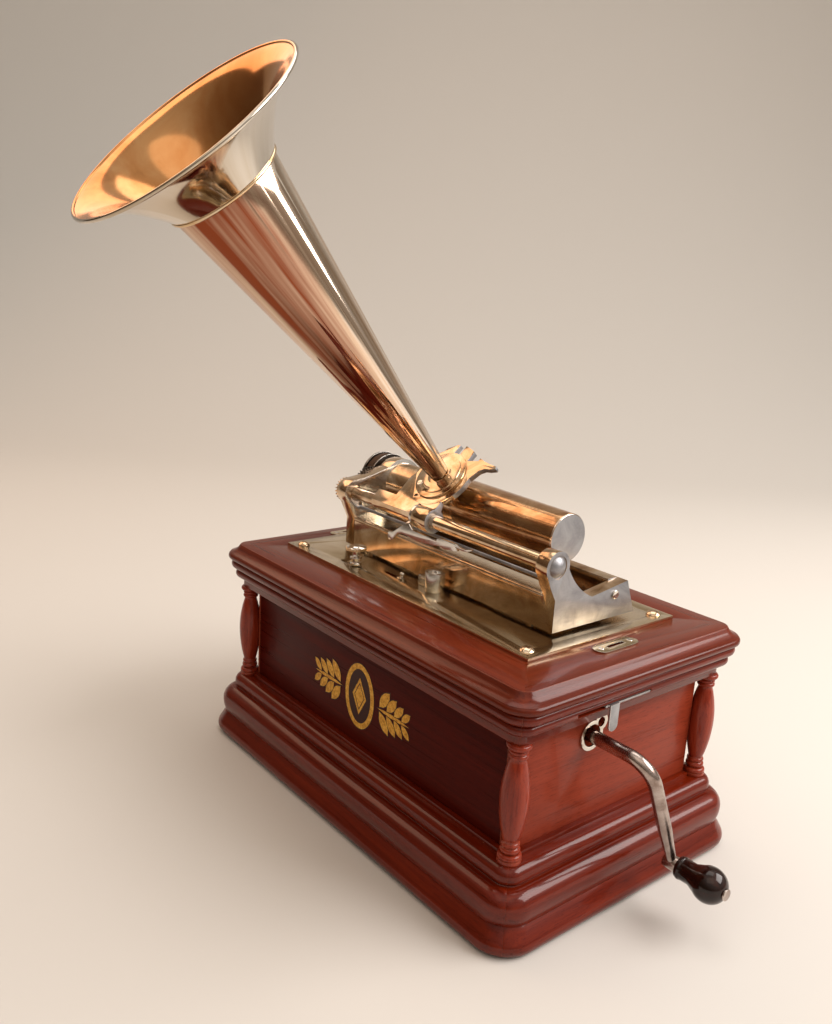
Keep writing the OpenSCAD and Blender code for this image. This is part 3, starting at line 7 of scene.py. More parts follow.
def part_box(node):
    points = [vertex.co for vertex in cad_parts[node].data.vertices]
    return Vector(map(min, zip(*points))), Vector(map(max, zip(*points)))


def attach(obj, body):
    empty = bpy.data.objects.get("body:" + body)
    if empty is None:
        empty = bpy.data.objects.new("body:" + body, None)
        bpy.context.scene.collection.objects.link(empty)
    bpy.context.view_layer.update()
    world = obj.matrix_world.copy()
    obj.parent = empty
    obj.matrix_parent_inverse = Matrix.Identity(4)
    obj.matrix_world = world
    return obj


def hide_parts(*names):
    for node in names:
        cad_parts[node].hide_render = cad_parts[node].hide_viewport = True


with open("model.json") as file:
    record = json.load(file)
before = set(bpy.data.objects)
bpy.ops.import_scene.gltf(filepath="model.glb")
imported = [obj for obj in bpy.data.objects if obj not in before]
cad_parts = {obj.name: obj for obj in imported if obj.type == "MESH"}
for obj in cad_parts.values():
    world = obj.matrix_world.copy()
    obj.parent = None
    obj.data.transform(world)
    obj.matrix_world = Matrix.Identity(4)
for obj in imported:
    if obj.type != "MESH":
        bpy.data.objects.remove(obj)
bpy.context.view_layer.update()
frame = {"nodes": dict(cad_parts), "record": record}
scene = bpy.context.scene
nodes = frame["nodes"]
bodyOf = {node: body for body, names in frame["record"]["behaviour"]["bodies"].items() for node in names}
slotOf = {subpart["node"]: subpart["material_slot"] for subpart in frame["record"]["subparts"]}
mm = 0.001

# camera: the photograph's own view, found from the case's straight edges
viewpoint = {
    "position": (0.60126, -0.55776, 0.47343),
    "azimuth": 50.43,
    "elevation": 14.46,
    "roll": 3.37,
    "lens": 33.02,
    "sensorHeight": 36,
    "clipStart": 0.01,
}


def makeCamera():
    azimuth, elevation, roll = (math.radians(viewpoint[key]) for key in ("azimuth", "elevation", "roll"))
    backward = Vector((
        math.sin(azimuth) * math.cos(elevation),
        -math.cos(azimuth) * math.cos(elevation),
        math.sin(elevation),
    ))
    level = (-backward).cross(Vector((0, 0, 1))).normalized()
    upright = level.cross(-backward)
    sideways = math.cos(roll) * level + math.sin(roll) * upright
    upward = -math.sin(roll) * level + math.cos(roll) * upright
    optics = bpy.data.cameras.new("camera")
    optics.sensor_fit = "VERTICAL"
    optics.sensor_height = viewpoint["sensorHeight"]
    optics.lens = viewpoint["lens"]
    optics.clip_start = viewpoint["clipStart"]
    camera = bpy.data.objects.new("camera", optics)
    camera.matrix_world = Matrix.Translation(viewpoint["position"]) @ Matrix(
        (sideways, upward, backward)
    ).transposed().to_4x4()
    scene.collection.objects.link(camera)
    scene.camera = camera
    scene.view_settings.view_transform = "Standard"


makeCamera()
print("camera set")


def hexColour(code):
    channels = [int(code[i:i + 2], 16) / 255 for i in (1, 3, 5)]
    return tuple(c / 12.92 if c <= 0.04045 else ((c + 0.055) / 1.055) ** 2.4 for c in channels) + (1.0,)


def addNode(tree, kind, values=None, links=None, **settings):
    node = tree.nodes.new(kind)
    for key, value in settings.items():
        setattr(node, key, value)
    for key, value in (values or {}).items():
        node.inputs[key].default_value = value
    for key, socket in (links or {}).items():
        tree.links.new(socket, node.inputs[key])
    return node


def setRamp(node, stops):
    ramp = node.color_ramp
    while len(ramp.elements) > 1:
        ramp.elements.remove(ramp.elements[-1])
    for i, (place, colour) in enumerate(stops):
        element = ramp.elements[0] if i == 0 else ramp.elements.new(place)
        element.position = place
        element.color = hexColour(colour)
    return node


def newFinish(name):
    finish = bpy.data.materials.new(name)
    finish.use_nodes = True
    tree = finish.node_tree
    tree.nodes.clear()
    shader = addNode(tree, "ShaderNodeBsdfPrincipled")
    addNode(tree, "ShaderNodeOutputMaterial", links={"Surface": shader.outputs["BSDF"]})
    place = addNode(tree, "ShaderNodeTexCoord").outputs["Object"]
    return finish, tree, shader, place


def selectEdges(piece, test):
    bpy.ops.object.mode_set(mode="EDIT")
    bpy.ops.mesh.select_mode(type="EDGE")
    bpy.ops.mesh.select_all(action="DESELECT")
    bpy.ops.object.mode_set(mode="OBJECT")
    spots = [v.co for v in piece.data.vertices]
    for edge in piece.data.edges:
        edge.select = test(spots[edge.vertices[0]], spots[edge.vertices[1]])
    bpy.ops.object.mode_set(mode="EDIT")


def selectFaces(piece, test):
    bpy.ops.object.mode_set(mode="EDIT")
    bpy.ops.mesh.select_mode(type="FACE")
    bpy.ops.mesh.select_all(action="DESELECT")
    bpy.ops.object.mode_set(mode="OBJECT")
    for face in piece.data.polygons:
        face.select = test(face)
    bpy.ops.object.mode_set(mode="EDIT")


def smoothBelow(degrees):
    bpy.ops.object.shade_smooth_by_angle(angle=math.radians(degrees))


def joinPieces(pieces, lead, name):
    bpy.ops.object.select_all(action="DESELECT")
    for piece in pieces:
        piece.select_set(True)
    bpy.context.view_layer.objects.active = lead
    bpy.ops.object.join()
    joined = bpy.context.object
    joined.name = name
    return joined


# stage: a pale sheet, swept up behind the object
stage = {
    "floorHalf": 5.0,
    "backDistance": 2.6,
    "backHeight": 3.0,
    "sweepRadius": 1.2,
    "sweepSteps": 24,
    "sheet": "#D6D2CC",
    "roughness": 0.9,
    "shine": 0.2,
}


def makeStage():
    bpy.ops.object.select_all(action="DESELECT")
    bpy.ops.mesh.primitive_plane_add(size=2 * stage["floorHalf"])
    sheet = bpy.context.object
    sheet.name = "floor_sheet"
    sheet.location = (0, stage["backDistance"] - stage["floorHalf"], 0)
    bpy.ops.object.transform_apply(location=True)
    far = max(v.co.y for v in sheet.data.vertices) - 1 * mm
    selectEdges(sheet, lambda a, b: min(a.y, b.y) > far)
    bpy.ops.mesh.extrude_region_move(TRANSFORM_OT_translate={"value": (0, 0, stage["backHeight"])})
    selectEdges(sheet, lambda a, b: min(a.y, b.y) > far and max(a.z, b.z) < 1 * mm)
    bpy.ops.mesh.bevel(offset=stage["sweepRadius"], segments=stage["sweepSteps"], profile=0.5)
    bpy.ops.object.mode_set(mode="OBJECT")
    sheet.rotation_euler = (0, 0, math.radians(viewpoint["azimuth"]))
    bpy.ops.object.transform_apply(rotation=True)
    smoothBelow(60)
    paper, _, shader, _ = newFinish("matt_paper_sheet")  # even and pale, so that only the shadow shows
    shader.inputs["Base Color"].default_value = hexColour(stage["sheet"])
    shader.inputs["Roughness"].default_value = stage["roughness"]
    shader.inputs["Specular IOR Level"].default_value = stage["shine"]
    sheet.data.materials.append(paper)


softBoxes = (
    # name, place, aim, width, height, watts, colour
    ("window_box", (1.20, 1.05, 1.45), (0, 0, 0.2), 1.7, 1.1, 46, "#FFF8F4"),
    ("ceiling_box", (-0.2, 0.4, 2.0), (0, 0, 0.2), 1.4, 1.0, 8, "#FFF8F0"),
    ("left_box", (-1.50, -0.40, 1.70), (0, 0, 0.25), 1.6, 1.1, 11, "#FFD2AE"),
    ("front_box", (0.80, -0.80, 1.75), (0, 0, 0.2), 1.6, 1.2, 3.5, "#FFE6D0"),
)


def makeLights():
    for name, spot, aim, width, height, watts, colour in softBoxes:
        lamp = bpy.data.lights.new(name, "AREA")
        lamp.shape = "RECTANGLE"
        lamp.size = width
        lamp.size_y = height
        lamp.energy = watts
        lamp.color = hexColour(colour)[:3]
        holder = bpy.data.objects.new(name, lamp)
        holder.location = spot
        holder.rotation_euler = (Vector(aim) - Vector(spot)).to_track_quat("-Z", "Y").to_euler()
        scene.collection.objects.link(holder)


# room tone: dark brown below, pale overhead and towards the window
room = {
    "brightWay": (0.35, 0.15, 0.92),
    "tones": ((0.0, "#2A1D16"), (0.35, "#64503F"), (0.6, "#94826F"), (0.85, "#EFE8DE")),
    "strength": 0.7,
}


def makeRoom():
    world = bpy.data.worlds.new("room")
    world.use_nodes = True
    scene.world = world
    tree = world.node_tree
    tree.nodes.clear()
    way = addNode(tree, "ShaderNodeTexCoord").outputs["Generated"]
    side = addNode(tree, "ShaderNodeVectorMath", {1: room["brightWay"]}, {0: way}, operation="DOT_PRODUCT")
    span = addNode(
        tree, "ShaderNodeMapRange", {"From Min": -1.0, "From Max": 1.0}, {"Value": side.outputs["Value"]}
    )
    tone = setRamp(addNode(tree, "ShaderNodeValToRGB", links={"Fac": span.outputs["Result"]}), room["tones"])
    glow = addNode(
        tree, "ShaderNodeBackground", {"Strength": room["strength"]}, {"Color": tone.outputs["Color"]}
    )
    addNode(tree, "ShaderNodeOutputWorld", links={"Surface": glow.outputs["Background"]})


makeStage()
makeLights()
makeRoom()
print("stage and lights made")

noiseReach = {"From Min": 0.3, "From Max": 0.7}  # noise seldom leaves this part of 0 to 1

# French-polished mahogany: short dark pores, narrow ribbon figure, a thin clear gloss
mahogany = {
    "ribbonLength": 160 * mm,
    "ribbonWidth": 5 * mm,
    "poreLength": 9 * mm,
    "poreWidth": 0.8 * mm,  # real pores are 0.2 mm wide; drawn four times as coarse so that they show
    "poreShade": "#C2B2AB",
    "poreRelief": 0.08,
    "poreDepth": 0.3 * mm,
    "coatRoughness": 0.10,
    # dark, body and light tone of each board; the front and side sets are one mahogany, the front darkened as
    # painted shade and the side lightened as painted light
    "front": ("#3E0A04", "#4A0E05", "#56140A"),
    "side": ("#772C1A", "#85321D", "#923B25"),
    "top": ("#541806", "#631F09", "#742A10"),
    "strips": ("#541203", "#651904", "#752107"),
    "columns": ("#701F0E", "#882D17", "#9E4028"),
    "wearAndPaintedReflection": ("#7A3A28", "#8C4A34", "#A0604A"),
    "stained": ("#120705", "#1F0D09", "#351A12"),
    "plain": ("#8A6A42", "#A5824F", "#BC9A68"),
}
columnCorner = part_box("corner_columns")[1]
mitreLead = columnCorner[0] - columnCorner[1]  # the mitres run at 45 degrees through the column axes


def makeMahogany(name, grain, tone, coat=0.45, smooth=0.25, rough=0.38, shine=0.12):
    finish, tree, shader, place = newFinish(name)
    axes = addNode(tree, "ShaderNodeSeparateXYZ", links={0: place}).outputs
    alongX = addNode(tree, "ShaderNodeCombineXYZ", links={"X": axes[0], "Y": axes[1], "Z": axes[2]})
    alongY = addNode(tree, "ShaderNodeCombineXYZ", links={"X": axes[1], "Y": axes[0], "Z": axes[2]})
    alongZ = addNode(tree, "ShaderNodeCombineXYZ", links={"X": axes[2], "Y": axes[0], "Z": axes[1]})
    grainPlace = {"x": alongX, "y": alongY, "z": alongZ, "mitre": alongX}[grain].outputs[0]
    if grain == "mitre":
        outX = addNode(tree, "ShaderNodeMath", links={0: axes[0]}, operation="ABSOLUTE").outputs[0]
        outY = addNode(tree, "ShaderNodeMath", links={0: axes[1]}, operation="ABSOLUTE").outputs[0]
        ahead = addNode(tree, "ShaderNodeMath", {1: mitreLead}, {0: outX}, operation="SUBTRACT").outputs[0]
        atEnd = addNode(tree, "ShaderNodeMath", links={0: ahead, 1: outY}, operation="GREATER_THAN")
        grainPlace = addNode(
            tree, "ShaderNodeMix", links={0: atEnd.outputs[0], 4: alongX.outputs[0], 5: alongY.outputs[0]},
            data_type="VECTOR"
        ).outputs[1]
    ribbonScale = (1 / mahogany["ribbonLength"], 1 / mahogany["ribbonWidth"], 1 / mahogany["ribbonWidth"])
    poreScale = (1 / mahogany["poreLength"], 1 / mahogany["poreWidth"], 1 / mahogany["poreWidth"])
    ribbonPlace = addNode(tree, "ShaderNodeMapping", {"Scale": ribbonScale}, {"Vector": grainPlace})
    porePlace = addNode(tree, "ShaderNodeMapping", {"Scale": poreScale}, {"Vector": grainPlace})
    ribbon = addNode(
        tree, "ShaderNodeTexNoise", {"Scale": 1.0, "Detail": 4.0, "Roughness": 0.6, "Distortion": 0.2},
        {"Vector": ribbonPlace.outputs[0]}
    )
    pores = addNode(
        tree, "ShaderNodeTexNoise", {"Scale": 1.0, "Detail": 3.0, "Roughness": 0.7},
        {"Vector": porePlace.outputs[0]}
    )
    dark, body, light = tone
    figure = setRamp(
        addNode(tree, "ShaderNodeValToRGB", links={"Fac": ribbon.outputs["Fac"]}),
        ((0.28, dark), (0.5, body), (0.74, light)),
    )
    poreShade = setRamp(
        addNode(tree, "ShaderNodeValToRGB", links={"Fac": pores.outputs["Fac"]}),
        ((0.30, mahogany["poreShade"]), (0.46, "#FFFFFF")),
    )
    grained = addNode(
        tree, "ShaderNodeMix", {0: 1.0}, {6: figure.outputs[0], 7: poreShade.outputs[0]},
        data_type="RGBA", blend_type="MULTIPLY"
    )
    gloss = addNode(
        tree, "ShaderNodeMapRange", {**noiseReach, "To Min": smooth, "To Max": rough},
        {"Value": ribbon.outputs["Fac"]}
    )
    relief = addNode(
        tree, "ShaderNodeBump", {"Strength": mahogany["poreRelief"], "Distance": mahogany["poreDepth"]},
        {"Height": pores.outputs["Fac"]}
    )
    tree.links.new(grained.outputs[2], shader.inputs["Base Color"])
    tree.links.new(gloss.outputs["Result"], shader.inputs["Roughness"])
    tree.links.new(relief.outputs[0], shader.inputs["Normal"])
    shader.inputs["Specular IOR Level"].default_value = shine
    shader.inputs["Coat Weight"].default_value = coat
    shader.inputs["Coat Roughness"].default_value = mahogany["coatRoughness"]
    return finish


# Nickel plate over brass, and the bare metals: cloudy tarnish, with hair scratches in the gloss
nickel = {
    "hairWidth": 0.5 * mm,  # real ones are about 0.05 mm; drawn ten times as coarse so that they show
    "hairDepth": 0.2 * mm,
    "polishedRelief": 0.04,
    "brushedRelief": 0.2,
    "brushedStretch": (1, 0.06, 1),  # brush strokes run across the machine, from front to back
    "warm": ("#E8D4BC", "#D0B08C", "#A07C58"),
    "silver": ("#B6B6B9", "#A0A0A3", "#848386"),
}


def makeNickel(name, tones, smooth, rough, cloud=26 * mm, brushed=False):
    finish, tree, shader, place = newFinish(name)
    tarnish = addNode(
        tree, "ShaderNodeTexNoise", {"Scale": 1 / cloud, "Detail": 5.0, "Roughness": 0.6, "Distortion": 0.8},
        {"Vector": place}
    )
    bright, middle, dull = tones
    tone = setRamp(
        addNode(tree, "ShaderNodeValToRGB", links={"Fac": tarnish.outputs["Fac"]}),
        ((0.28, dull), (0.46, middle), (0.68, bright)),
    )
    stretch = nickel["brushedStretch"] if brushed else (1, 1, 1)
    hairPlace = addNode(tree, "ShaderNodeMapping", {"Scale": stretch}, {"Vector": place})
    hairs = addNode(
        tree, "ShaderNodeTexNoise", {"Scale": 1 / nickel["hairWidth"], "Detail": 2.0},
        {"Vector": hairPlace.outputs[0]}
    )
    gloss = addNode(
        tree, "ShaderNodeMapRange", {**noiseReach, "To Min": smooth, "To Max": rough},
        {"Value": hairs.outputs["Fac"]}
    )
    strength = nickel["brushedRelief" if brushed else "polishedRelief"]
    relief = addNode(
        tree, "ShaderNodeBump", {"Strength": strength, "Distance": nickel["hairDepth"]},
        {"Height": hairs.outputs["Fac"]}
    )
    tree.links.new(tone.outputs[0], shader.inputs["Base Color"])
    tree.links.new(gloss.outputs["Result"], shader.inputs["Roughness"])
    tree.links.new(relief.outputs[0], shader.inputs["Normal"])
    shader.inputs["Metallic"].default_value = 1.0
    return finish


# Spun horn: polished plate in long streaks that run from the neck to the bell, partly wear and partly painted
# reflection of the wooden case; one side is pushed further towards the dull tone as painted reflection
hornPlate = {
    "lean": 43.75,
    "axis": (-27 * mm, 195.0 * mm),
    "streaks": 2.8,
    "streakLength": 420 * mm,
    "reflectedWoodSide": (0.63, -0.78, 0),  # painted reflection: the underside, this way round, is pushed towards the dull red-brown of the wood it mirrors
    "reflectedWoodReach": (0.64, 1.0),
    "reflectedWoodShare": 0.25,
}
lean = math.radians(hornPlate["lean"])
hornAxis = Vector((0, -math.sin(lean), math.cos(lean)))


# x across the machine, s up the lean and n along the horn
def leanPoint(x, s, n):
    return (x, s * math.cos(lean) - n * math.sin(lean), s * math.sin(lean) + n * math.cos(lean))


def makeHornPlate(name, tones, smooth, rough):
    finish, tree, shader, place = newFinish(name)
    x, s = hornPlate["axis"]
    leaned = addNode(
        tree, "ShaderNodeMapping", {"Rotation": (-lean, 0, 0), "Location": (-x, -s, 0)}, {"Vector": place}
    )
    axes = addNode(tree, "ShaderNodeSeparateXYZ", links={0: leaned.outputs[0]}).outputs
    across = addNode(tree, "ShaderNodeCombineXYZ", links={"X": axes[0], "Y": axes[1]})
    around = addNode(tree, "ShaderNodeVectorMath", links={0: across.outputs[0]}, operation="NORMALIZE")
    spread = addNode(
        tree, "ShaderNodeVectorMath", {"Scale": hornPlate["streaks"]}, {0: around.outputs[0]},
        operation="SCALE"
    )
    along = addNode(
        tree, "ShaderNodeMath", {1: 1 / hornPlate["streakLength"]}, {0: axes[2]}, operation="MULTIPLY"
    )
    rise = addNode(tree, "ShaderNodeCombineXYZ", links={"Z": along.outputs[0]})
    streakPlace = addNode(
        tree, "ShaderNodeVectorMath", links={0: spread.outputs[0], 1: rise.outputs[0]}, operation="ADD"
    )
    streaks = addNode(
        tree, "ShaderNodeTexNoise", {"Scale": 1.0, "Detail": 4.0, "Roughness": 0.55},
        {"Vector": streakPlace.outputs[0]}
    )
    # painted reflection: points on the side that faces the wooden case lose cover, so the red-brown tone
    # shows there
    side = addNode(
        tree, "ShaderNodeVectorMath", {1: hornPlate["reflectedWoodSide"]}, {0: around.outputs[0]},
        operation="DOT_PRODUCT"
    )
    start, full = hornPlate["reflectedWoodReach"]
    wearAndPaintedReflection = addNode(
        tree, "ShaderNodeMapRange",
        {"From Min": start, "From Max": full, "To Min": 0.0, "To Max": hornPlate["reflectedWoodShare"]},
        {"Value": side.outputs["Value"]}, interpolation_type="SMOOTHSTEP"
    )
    coverLessReflection = addNode(
        tree, "ShaderNodeMath", links={0: streaks.outputs["Fac"], 1: wearAndPaintedReflection.outputs["Result"]},
        operation="SUBTRACT"
    )
    bright, middle, dull = tones
    tone = setRamp(
        addNode(tree, "ShaderNodeValToRGB", links={"Fac": coverLessReflection.outputs[0]}),
        ((0.2, dull), (0.45, middle), (0.62, bright)),
    )
    gloss = addNode(
        tree, "ShaderNodeMapRange", {**noiseReach, "To Min": rough, "To Max": smooth},
        {"Value": streaks.outputs["Fac"]}
    )
    tree.links.new(tone.outputs[0], shader.inputs["Base Color"])
    tree.links.new(gloss.outputs["Result"], shader.inputs["Roughness"])
    shader.inputs["Metallic"].default_value = 1.0
    return finish


# Mottled surfaces: small clouds of colour and a fine relief
mottled = {
    "reliefDepth": 0.3 * mm,
    "shine": 0.2,
}


def makeMottled(name, tones, grain, smooth, rough, metallic=0.0, relief=0.1, clear=0.0):
    finish, tree, shader, place = newFinish(name)
    mottle = addNode(
        tree, "ShaderNodeTexNoise", {"Scale": 1 / grain, "Detail": 4.0, "Roughness": 0.65}, {"Vector": place}
    )
    light, body, dark = tones
    tone = setRamp(
        addNode(tree, "ShaderNodeValToRGB", links={"Fac": mottle.outputs["Fac"]}),
        ((0.30, dark), (0.5, body), (0.68, light)),
    )
    gloss = addNode(
        tree, "ShaderNodeMapRange", {**noiseReach, "To Min": smooth, "To Max": rough},
        {"Value": mottle.outputs["Fac"]}
    )
    bump = addNode(
        tree, "ShaderNodeBump", {"Strength": relief, "Distance": mottled["reliefDepth"]},
        {"Height": mottle.outputs["Fac"]}
    )
    tree.links.new(tone.outputs[0], shader.inputs["Base Color"])
    tree.links.new(gloss.outputs["Result"], shader.inputs["Roughness"])
    tree.links.new(bump.outputs[0], shader.inputs["Normal"])
    shader.inputs["Metallic"].default_value = metallic
    shader.inputs["Specular IOR Level"].default_value = mottled["shine"]
    shader.inputs["Transmission Weight"].default_value = clear
    return finish


finishes = {
    # painted shade: deep red-brown, the case's mahogany darkened for the front and back panels, with only a
    # trace of gloss
    "paintedShadeFrontWood": makeMahogany("polished_mahogany_painted_shade_panel", "x", mahogany["front"], coat=0.02, shine=0.05),
    # painted light: brick red, the case's mahogany lightened for both end panels, with dark pores along the
    # grain, half matt
    "paintedLightSideWood": makeMahogany("polished_mahogany_painted_light_panel", "y", mahogany["side"], coat=0.12),
    # warm brown with a soft sheen that follows the window
    "topWood": makeMahogany("polished_mahogany_board", "mitre", mahogany["top"], coat=0.3),
    # lighter red, with a narrow highlight down each swell
    "columnWood": makeMahogany("polished_mahogany_turned", "z", mahogany["columns"]),
    # dark red mouldings, whose rounds draw long thin highlights
    "stripWood": makeMahogany("polished_mahogany_mitred_strips", "mitre", mahogany["strips"]),
    # arrises where the polish is rubbed off: paler and duller
    "wornWood": makeMahogany("rubbed_mahogany_edge", "x", mahogany["wearAndPaintedReflection"], coat=0.1, smooth=0.3, rough=0.45),
    # almost black, with a clear wet gloss
    "knobWood": makeMahogany(
        "ebonised_hardwood_knob", "x", mahogany["stained"], coat=0.6, smooth=0.16, rough=0.26
    ),
    # raw yellow-brown wood, matt
    "baseWood": makeMahogany("planed_pine_board", "x", mahogany["plain"], coat=0.0, smooth=0.5, rough=0.65),
    # clear warm mirror, clouded brown where the plate is thin
    "plate": makeNickel("nickel_plate_polished", nickel["warm"], 0.07, 0.15),
    # browner and softer, worn by many records
    "mandrelPlate": makeNickel("nickel_plate_worn_thin", ("#D8B48C", "#BE9066", "#906440"), 0.14, 0.24),
    # warm mirror with blurred reflections, from the casting under the plate
    "castPlate": makeNickel("nickel_plate_cast", nickel["warm"], 0.12, 0.22),
    # bright tan line where an edge is rubbed; on the bedplate's sides it is a painted highlight
    "rubbedEdgeAndHighlight": makeNickel("nickel_plate_rubbed_edge_and_highlight", ("#F0DCC0", "#E2C298", "#C49E70"), 0.12, 0.22),
    # greenish straw, in wide clouds of tarnish
    "bed": makeNickel(
        "nickel_plate_tarnished", ("#D8C8AC", "#C2AC88", "#A08A66"), 0.14, 0.24, cloud=60 * mm
    ),
    # cool grey satin that only glows
    "satin": makeNickel("nickel_plate_brushed", nickel["silver"], 0.40, 0.54, brushed=True),
    # white mirror
    "silverPlate": makeNickel("nickel_plate_mirror", ("#EEEAE4", "#DDD6CC", "#BDB2A4"), 0.05, 0.12),
    # painted glint: a thin white line along a cool edge, and white faces where light is caught
    "paintedGlint": makeNickel("nickel_plate_painted_glint", ("#F2F0EC", "#E6E2DC", "#CFC9C0"), 0.15, 0.25),
    # greyish mirror gone brown in patches, from handling
    "crankPlate": makeNickel("antique_nickel_rod", ("#CEC2BA", "#B0A098", "#7C665A"), 0.16, 0.3),
    # silver above and red-brown below, in streaks along the horn; the red-brown below is painted reflection
    # of the wood, the streaks partly wear and partly painted reflection
    "horn": makeHornPlate("nickel_plate_spun_horn_painted_reflection", ("#F2EBE0", "#D8BCA2", "#8E482C"), 0.06, 0.14),
    # painted reflection: peach-coloured mirror inside the bell, the warm light it mirrors painted into the
    # plate's tone
    "bellInsideWarmReflection": makeNickel(
        "plate_with_painted_warm_reflection", ("#E2AE78", "#D2925A", "#B47640"), 0.09, 0.16, cloud=70 * mm
    ),
    # dull olive brown that darkens down the throat
    "hornInside": makeMottled(
        "brass_raw_inside", ("#8E744A", "#725A38", "#503E26"), 22 * mm, 0.4, 0.6, metallic=0.5
    ),
    # clear silver mirror round the outside of the bell
    "bellOutside": makeHornPlate("nickel_plate_spun_bell", ("#E8E4DE", "#DCD4C8", "#C4B49E"), 0.05, 0.12),
    # plain yellow metal with a soft shine, for the motor
    "brass": makeNickel("brass_lacquered_cast", ("#D0AE62", "#B48E46", "#8A6A34"), 0.22, 0.38),
    # mid grey, oily and soft
    "steel": makeNickel("steel_oiled_turned", ("#8A8682", "#6A6662", "#484542"), 0.26, 0.42),
    # near black with a dull glint
    "darkSteel": makeNickel("steel_blued_rim", ("#57504A", "#3E3833", "#282320"), 0.24, 0.40),
    # dry dark brown, with a fine grain
    "leather": makeMottled(
        "belt_leather_worn", ("#5A3E28", "#422B1B", "#2C1C12"), 1.2 * mm, 0.5, 0.7, relief=0.4
    ),
    # pale straw flakes, partly seen through
    "mica": makeMottled(
        "mica_sheet_split", ("#D9CBA6", "#C6B68C", "#A8976C"), 6 * mm, 0.08, 0.2, clear=0.35
    ),
    # old gold that shines a little and is browned in spots
    "gilt": makeMottled(
        "bronze_gilt_transfer", ("#EBBB58", "#D49B38", "#A9701F"), 2.5 * mm, 0.3, 0.5, metallic=0.3
    ),
    # red-black outline and field
    "ink": makeMottled("brown_ink_transfer", ("#44160C", "#34100A", "#240A06"), 2.0 * mm, 0.35, 0.5),
}
print("finishes made")

# each node that shows is copied and its edges softened, in millimetres, with a finish of their own
softEdge = {
    "case": 0.4,
    "works": 0.2,
    "sharpAngle": 32,
    "flatAngle": 0.2,
    "segments": 2,
}


def refine(nodeName, finishName, edgeName, width):
    source = nodes[nodeName]
    bpy.ops.object.select_all(action="DESELECT")
    piece = bpy.data.objects.new(nodeName + "_finished", source.data.copy())
    scene.collection.objects.link(piece)
    piece.matrix_world = Matrix.Identity(4)
    bpy.context.view_layer.objects.active = piece
    piece.select_set(True)
    if piece.data.has_custom_normals:
        bpy.ops.mesh.customdata_custom_splitnormals_clear()
    bpy.ops.object.mode_set(mode="EDIT")
    bpy.ops.mesh.select_all(action="SELECT")
    bpy.ops.mesh.remove_doubles(threshold=1e-6)
    bpy.ops.mesh.dissolve_limited(angle_limit=math.radians(softEdge["flatAngle"]))
    bpy.ops.object.mode_set(mode="OBJECT")
    piece.data.materials.clear()
    piece.data.materials.append(finishes[finishName])
    piece.data.materials.append(finishes[edgeName])
    soft = piece.modifiers.new("soft_edges", "BEVEL")
    soft.width = width * mm
    soft.segments = softEdge["segments"]
    soft.limit_method = "ANGLE"
    soft.angle_limit = math.radians(softEdge["sharpAngle"])
    soft.use_clamp_overlap = True
    soft.material = 1  # the edges: rubbed wear, and on metal partly a painted glint
    bpy.ops.object.modifier_apply(modifier=soft.name)
    smoothBelow(softEdge["sharpAngle"])
    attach(piece, bodyOf[nodeName])
    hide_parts(nodeName)
    return piece


def faceFinish(piece, finishName, test):
    piece.data.materials.append(finishes[finishName])
    index = len(piece.data.materials) - 1
    for face in piece.data.polygons:
        if test(face.center, face.normal):
            face.material_index = index


caseFinish = {
    # node: finish, finish of the rubbed edges
    "plinth_strips": ("stripWood", "wornWood"),
    "torus_strips": ("stripWood", "wornWood"),
    "foot_strips": ("stripWood", "wornWood"),
    "frieze_strips": ("stripWood", "wornWood"),
    # painted shade on the front and back panels, painted light on the two end panels
    "front_panel": ("paintedShadeFrontWood", "wornWood"),
    "back_panel": ("paintedShadeFrontWood", "wornWood"),
    "left_panel": ("paintedLightSideWood", "wornWood"),
    "right_panel": ("paintedLightSideWood", "wornWood"),
    "corner_columns": ("columnWood", "wornWood"),
    "top_board": ("topWood", "wornWood"),
    "base_board": ("baseWood", "baseWood"),
}
for nodeName, (finishName, edgeName) in caseFinish.items():
    refine(nodeName, finishName, edgeName, softEdge["case"])
print("case dressed")

worksFinish = {
    # node: finish, finish of the edges, which is rubbed wear on some and a painted glint on others
    "crank_escutcheon": ("silverPlate", "paintedGlint"),
    "latch_slide": ("satin", "paintedGlint"),
    "crank_arm": ("crankPlate", "paintedGlint"),
    "crank_knob": ("knobWood", "knobWood"),
    "bedplate": ("bed", "rubbedEdgeAndHighlight"),
    "bedplate_screws": ("plate", "rubbedEdgeAndHighlight"),
    "cover_catch_plates": ("bed", "paintedGlint"),
    "works_frame": ("castPlate", "paintedGlint"),
    "left_standard": ("castPlate", "paintedGlint"),
    "guide_tube": ("plate", "rubbedEdgeAndHighlight"),
    "guide_rod": ("satin", "paintedGlint"),
    "pivot_cap": ("satin", "paintedGlint"),
    # painted glint: lever_post here and lift_lever below are wholly in the white glint finish
    "lever_post": ("paintedGlint", "paintedGlint"),
    "start_lever": ("silverPlate", "paintedGlint"),
    "speed_screw": ("silverPlate", "paintedGlint"),
    "mandrel": ("mandrelPlate", "paintedGlint"),
    "mandrel_shaft": ("steel", "paintedGlint"),
    "mandrel_pulley": ("darkSteel", "paintedGlint"),
    "mandrel_gear": ("darkSteel", "darkSteel"),
    "idler_gear": ("darkSteel", "darkSteel"),
    "feed_gear": ("plate", "rubbedEdgeAndHighlight"),
    "carriage": ("plate", "paintedGlint"),
    "lift_lever": ("paintedGlint", "paintedGlint"),
    "reproducer_body": ("plate", "rubbedEdgeAndHighlight"),
    "horn_cone": ("horn", "rubbedEdgeAndHighlight"),
    "horn_bell": ("bellOutside", "rubbedEdgeAndHighlight"),
    "drive_belt": ("leather", "leather"),
    "diaphragm": ("mica", "mica"),
}
worksPieces = {}
for nodeName, (finishName, edgeName) in worksFinish.items():
    worksPieces[nodeName] = refine(nodeName, finishName, edgeName, softEdge["works"])

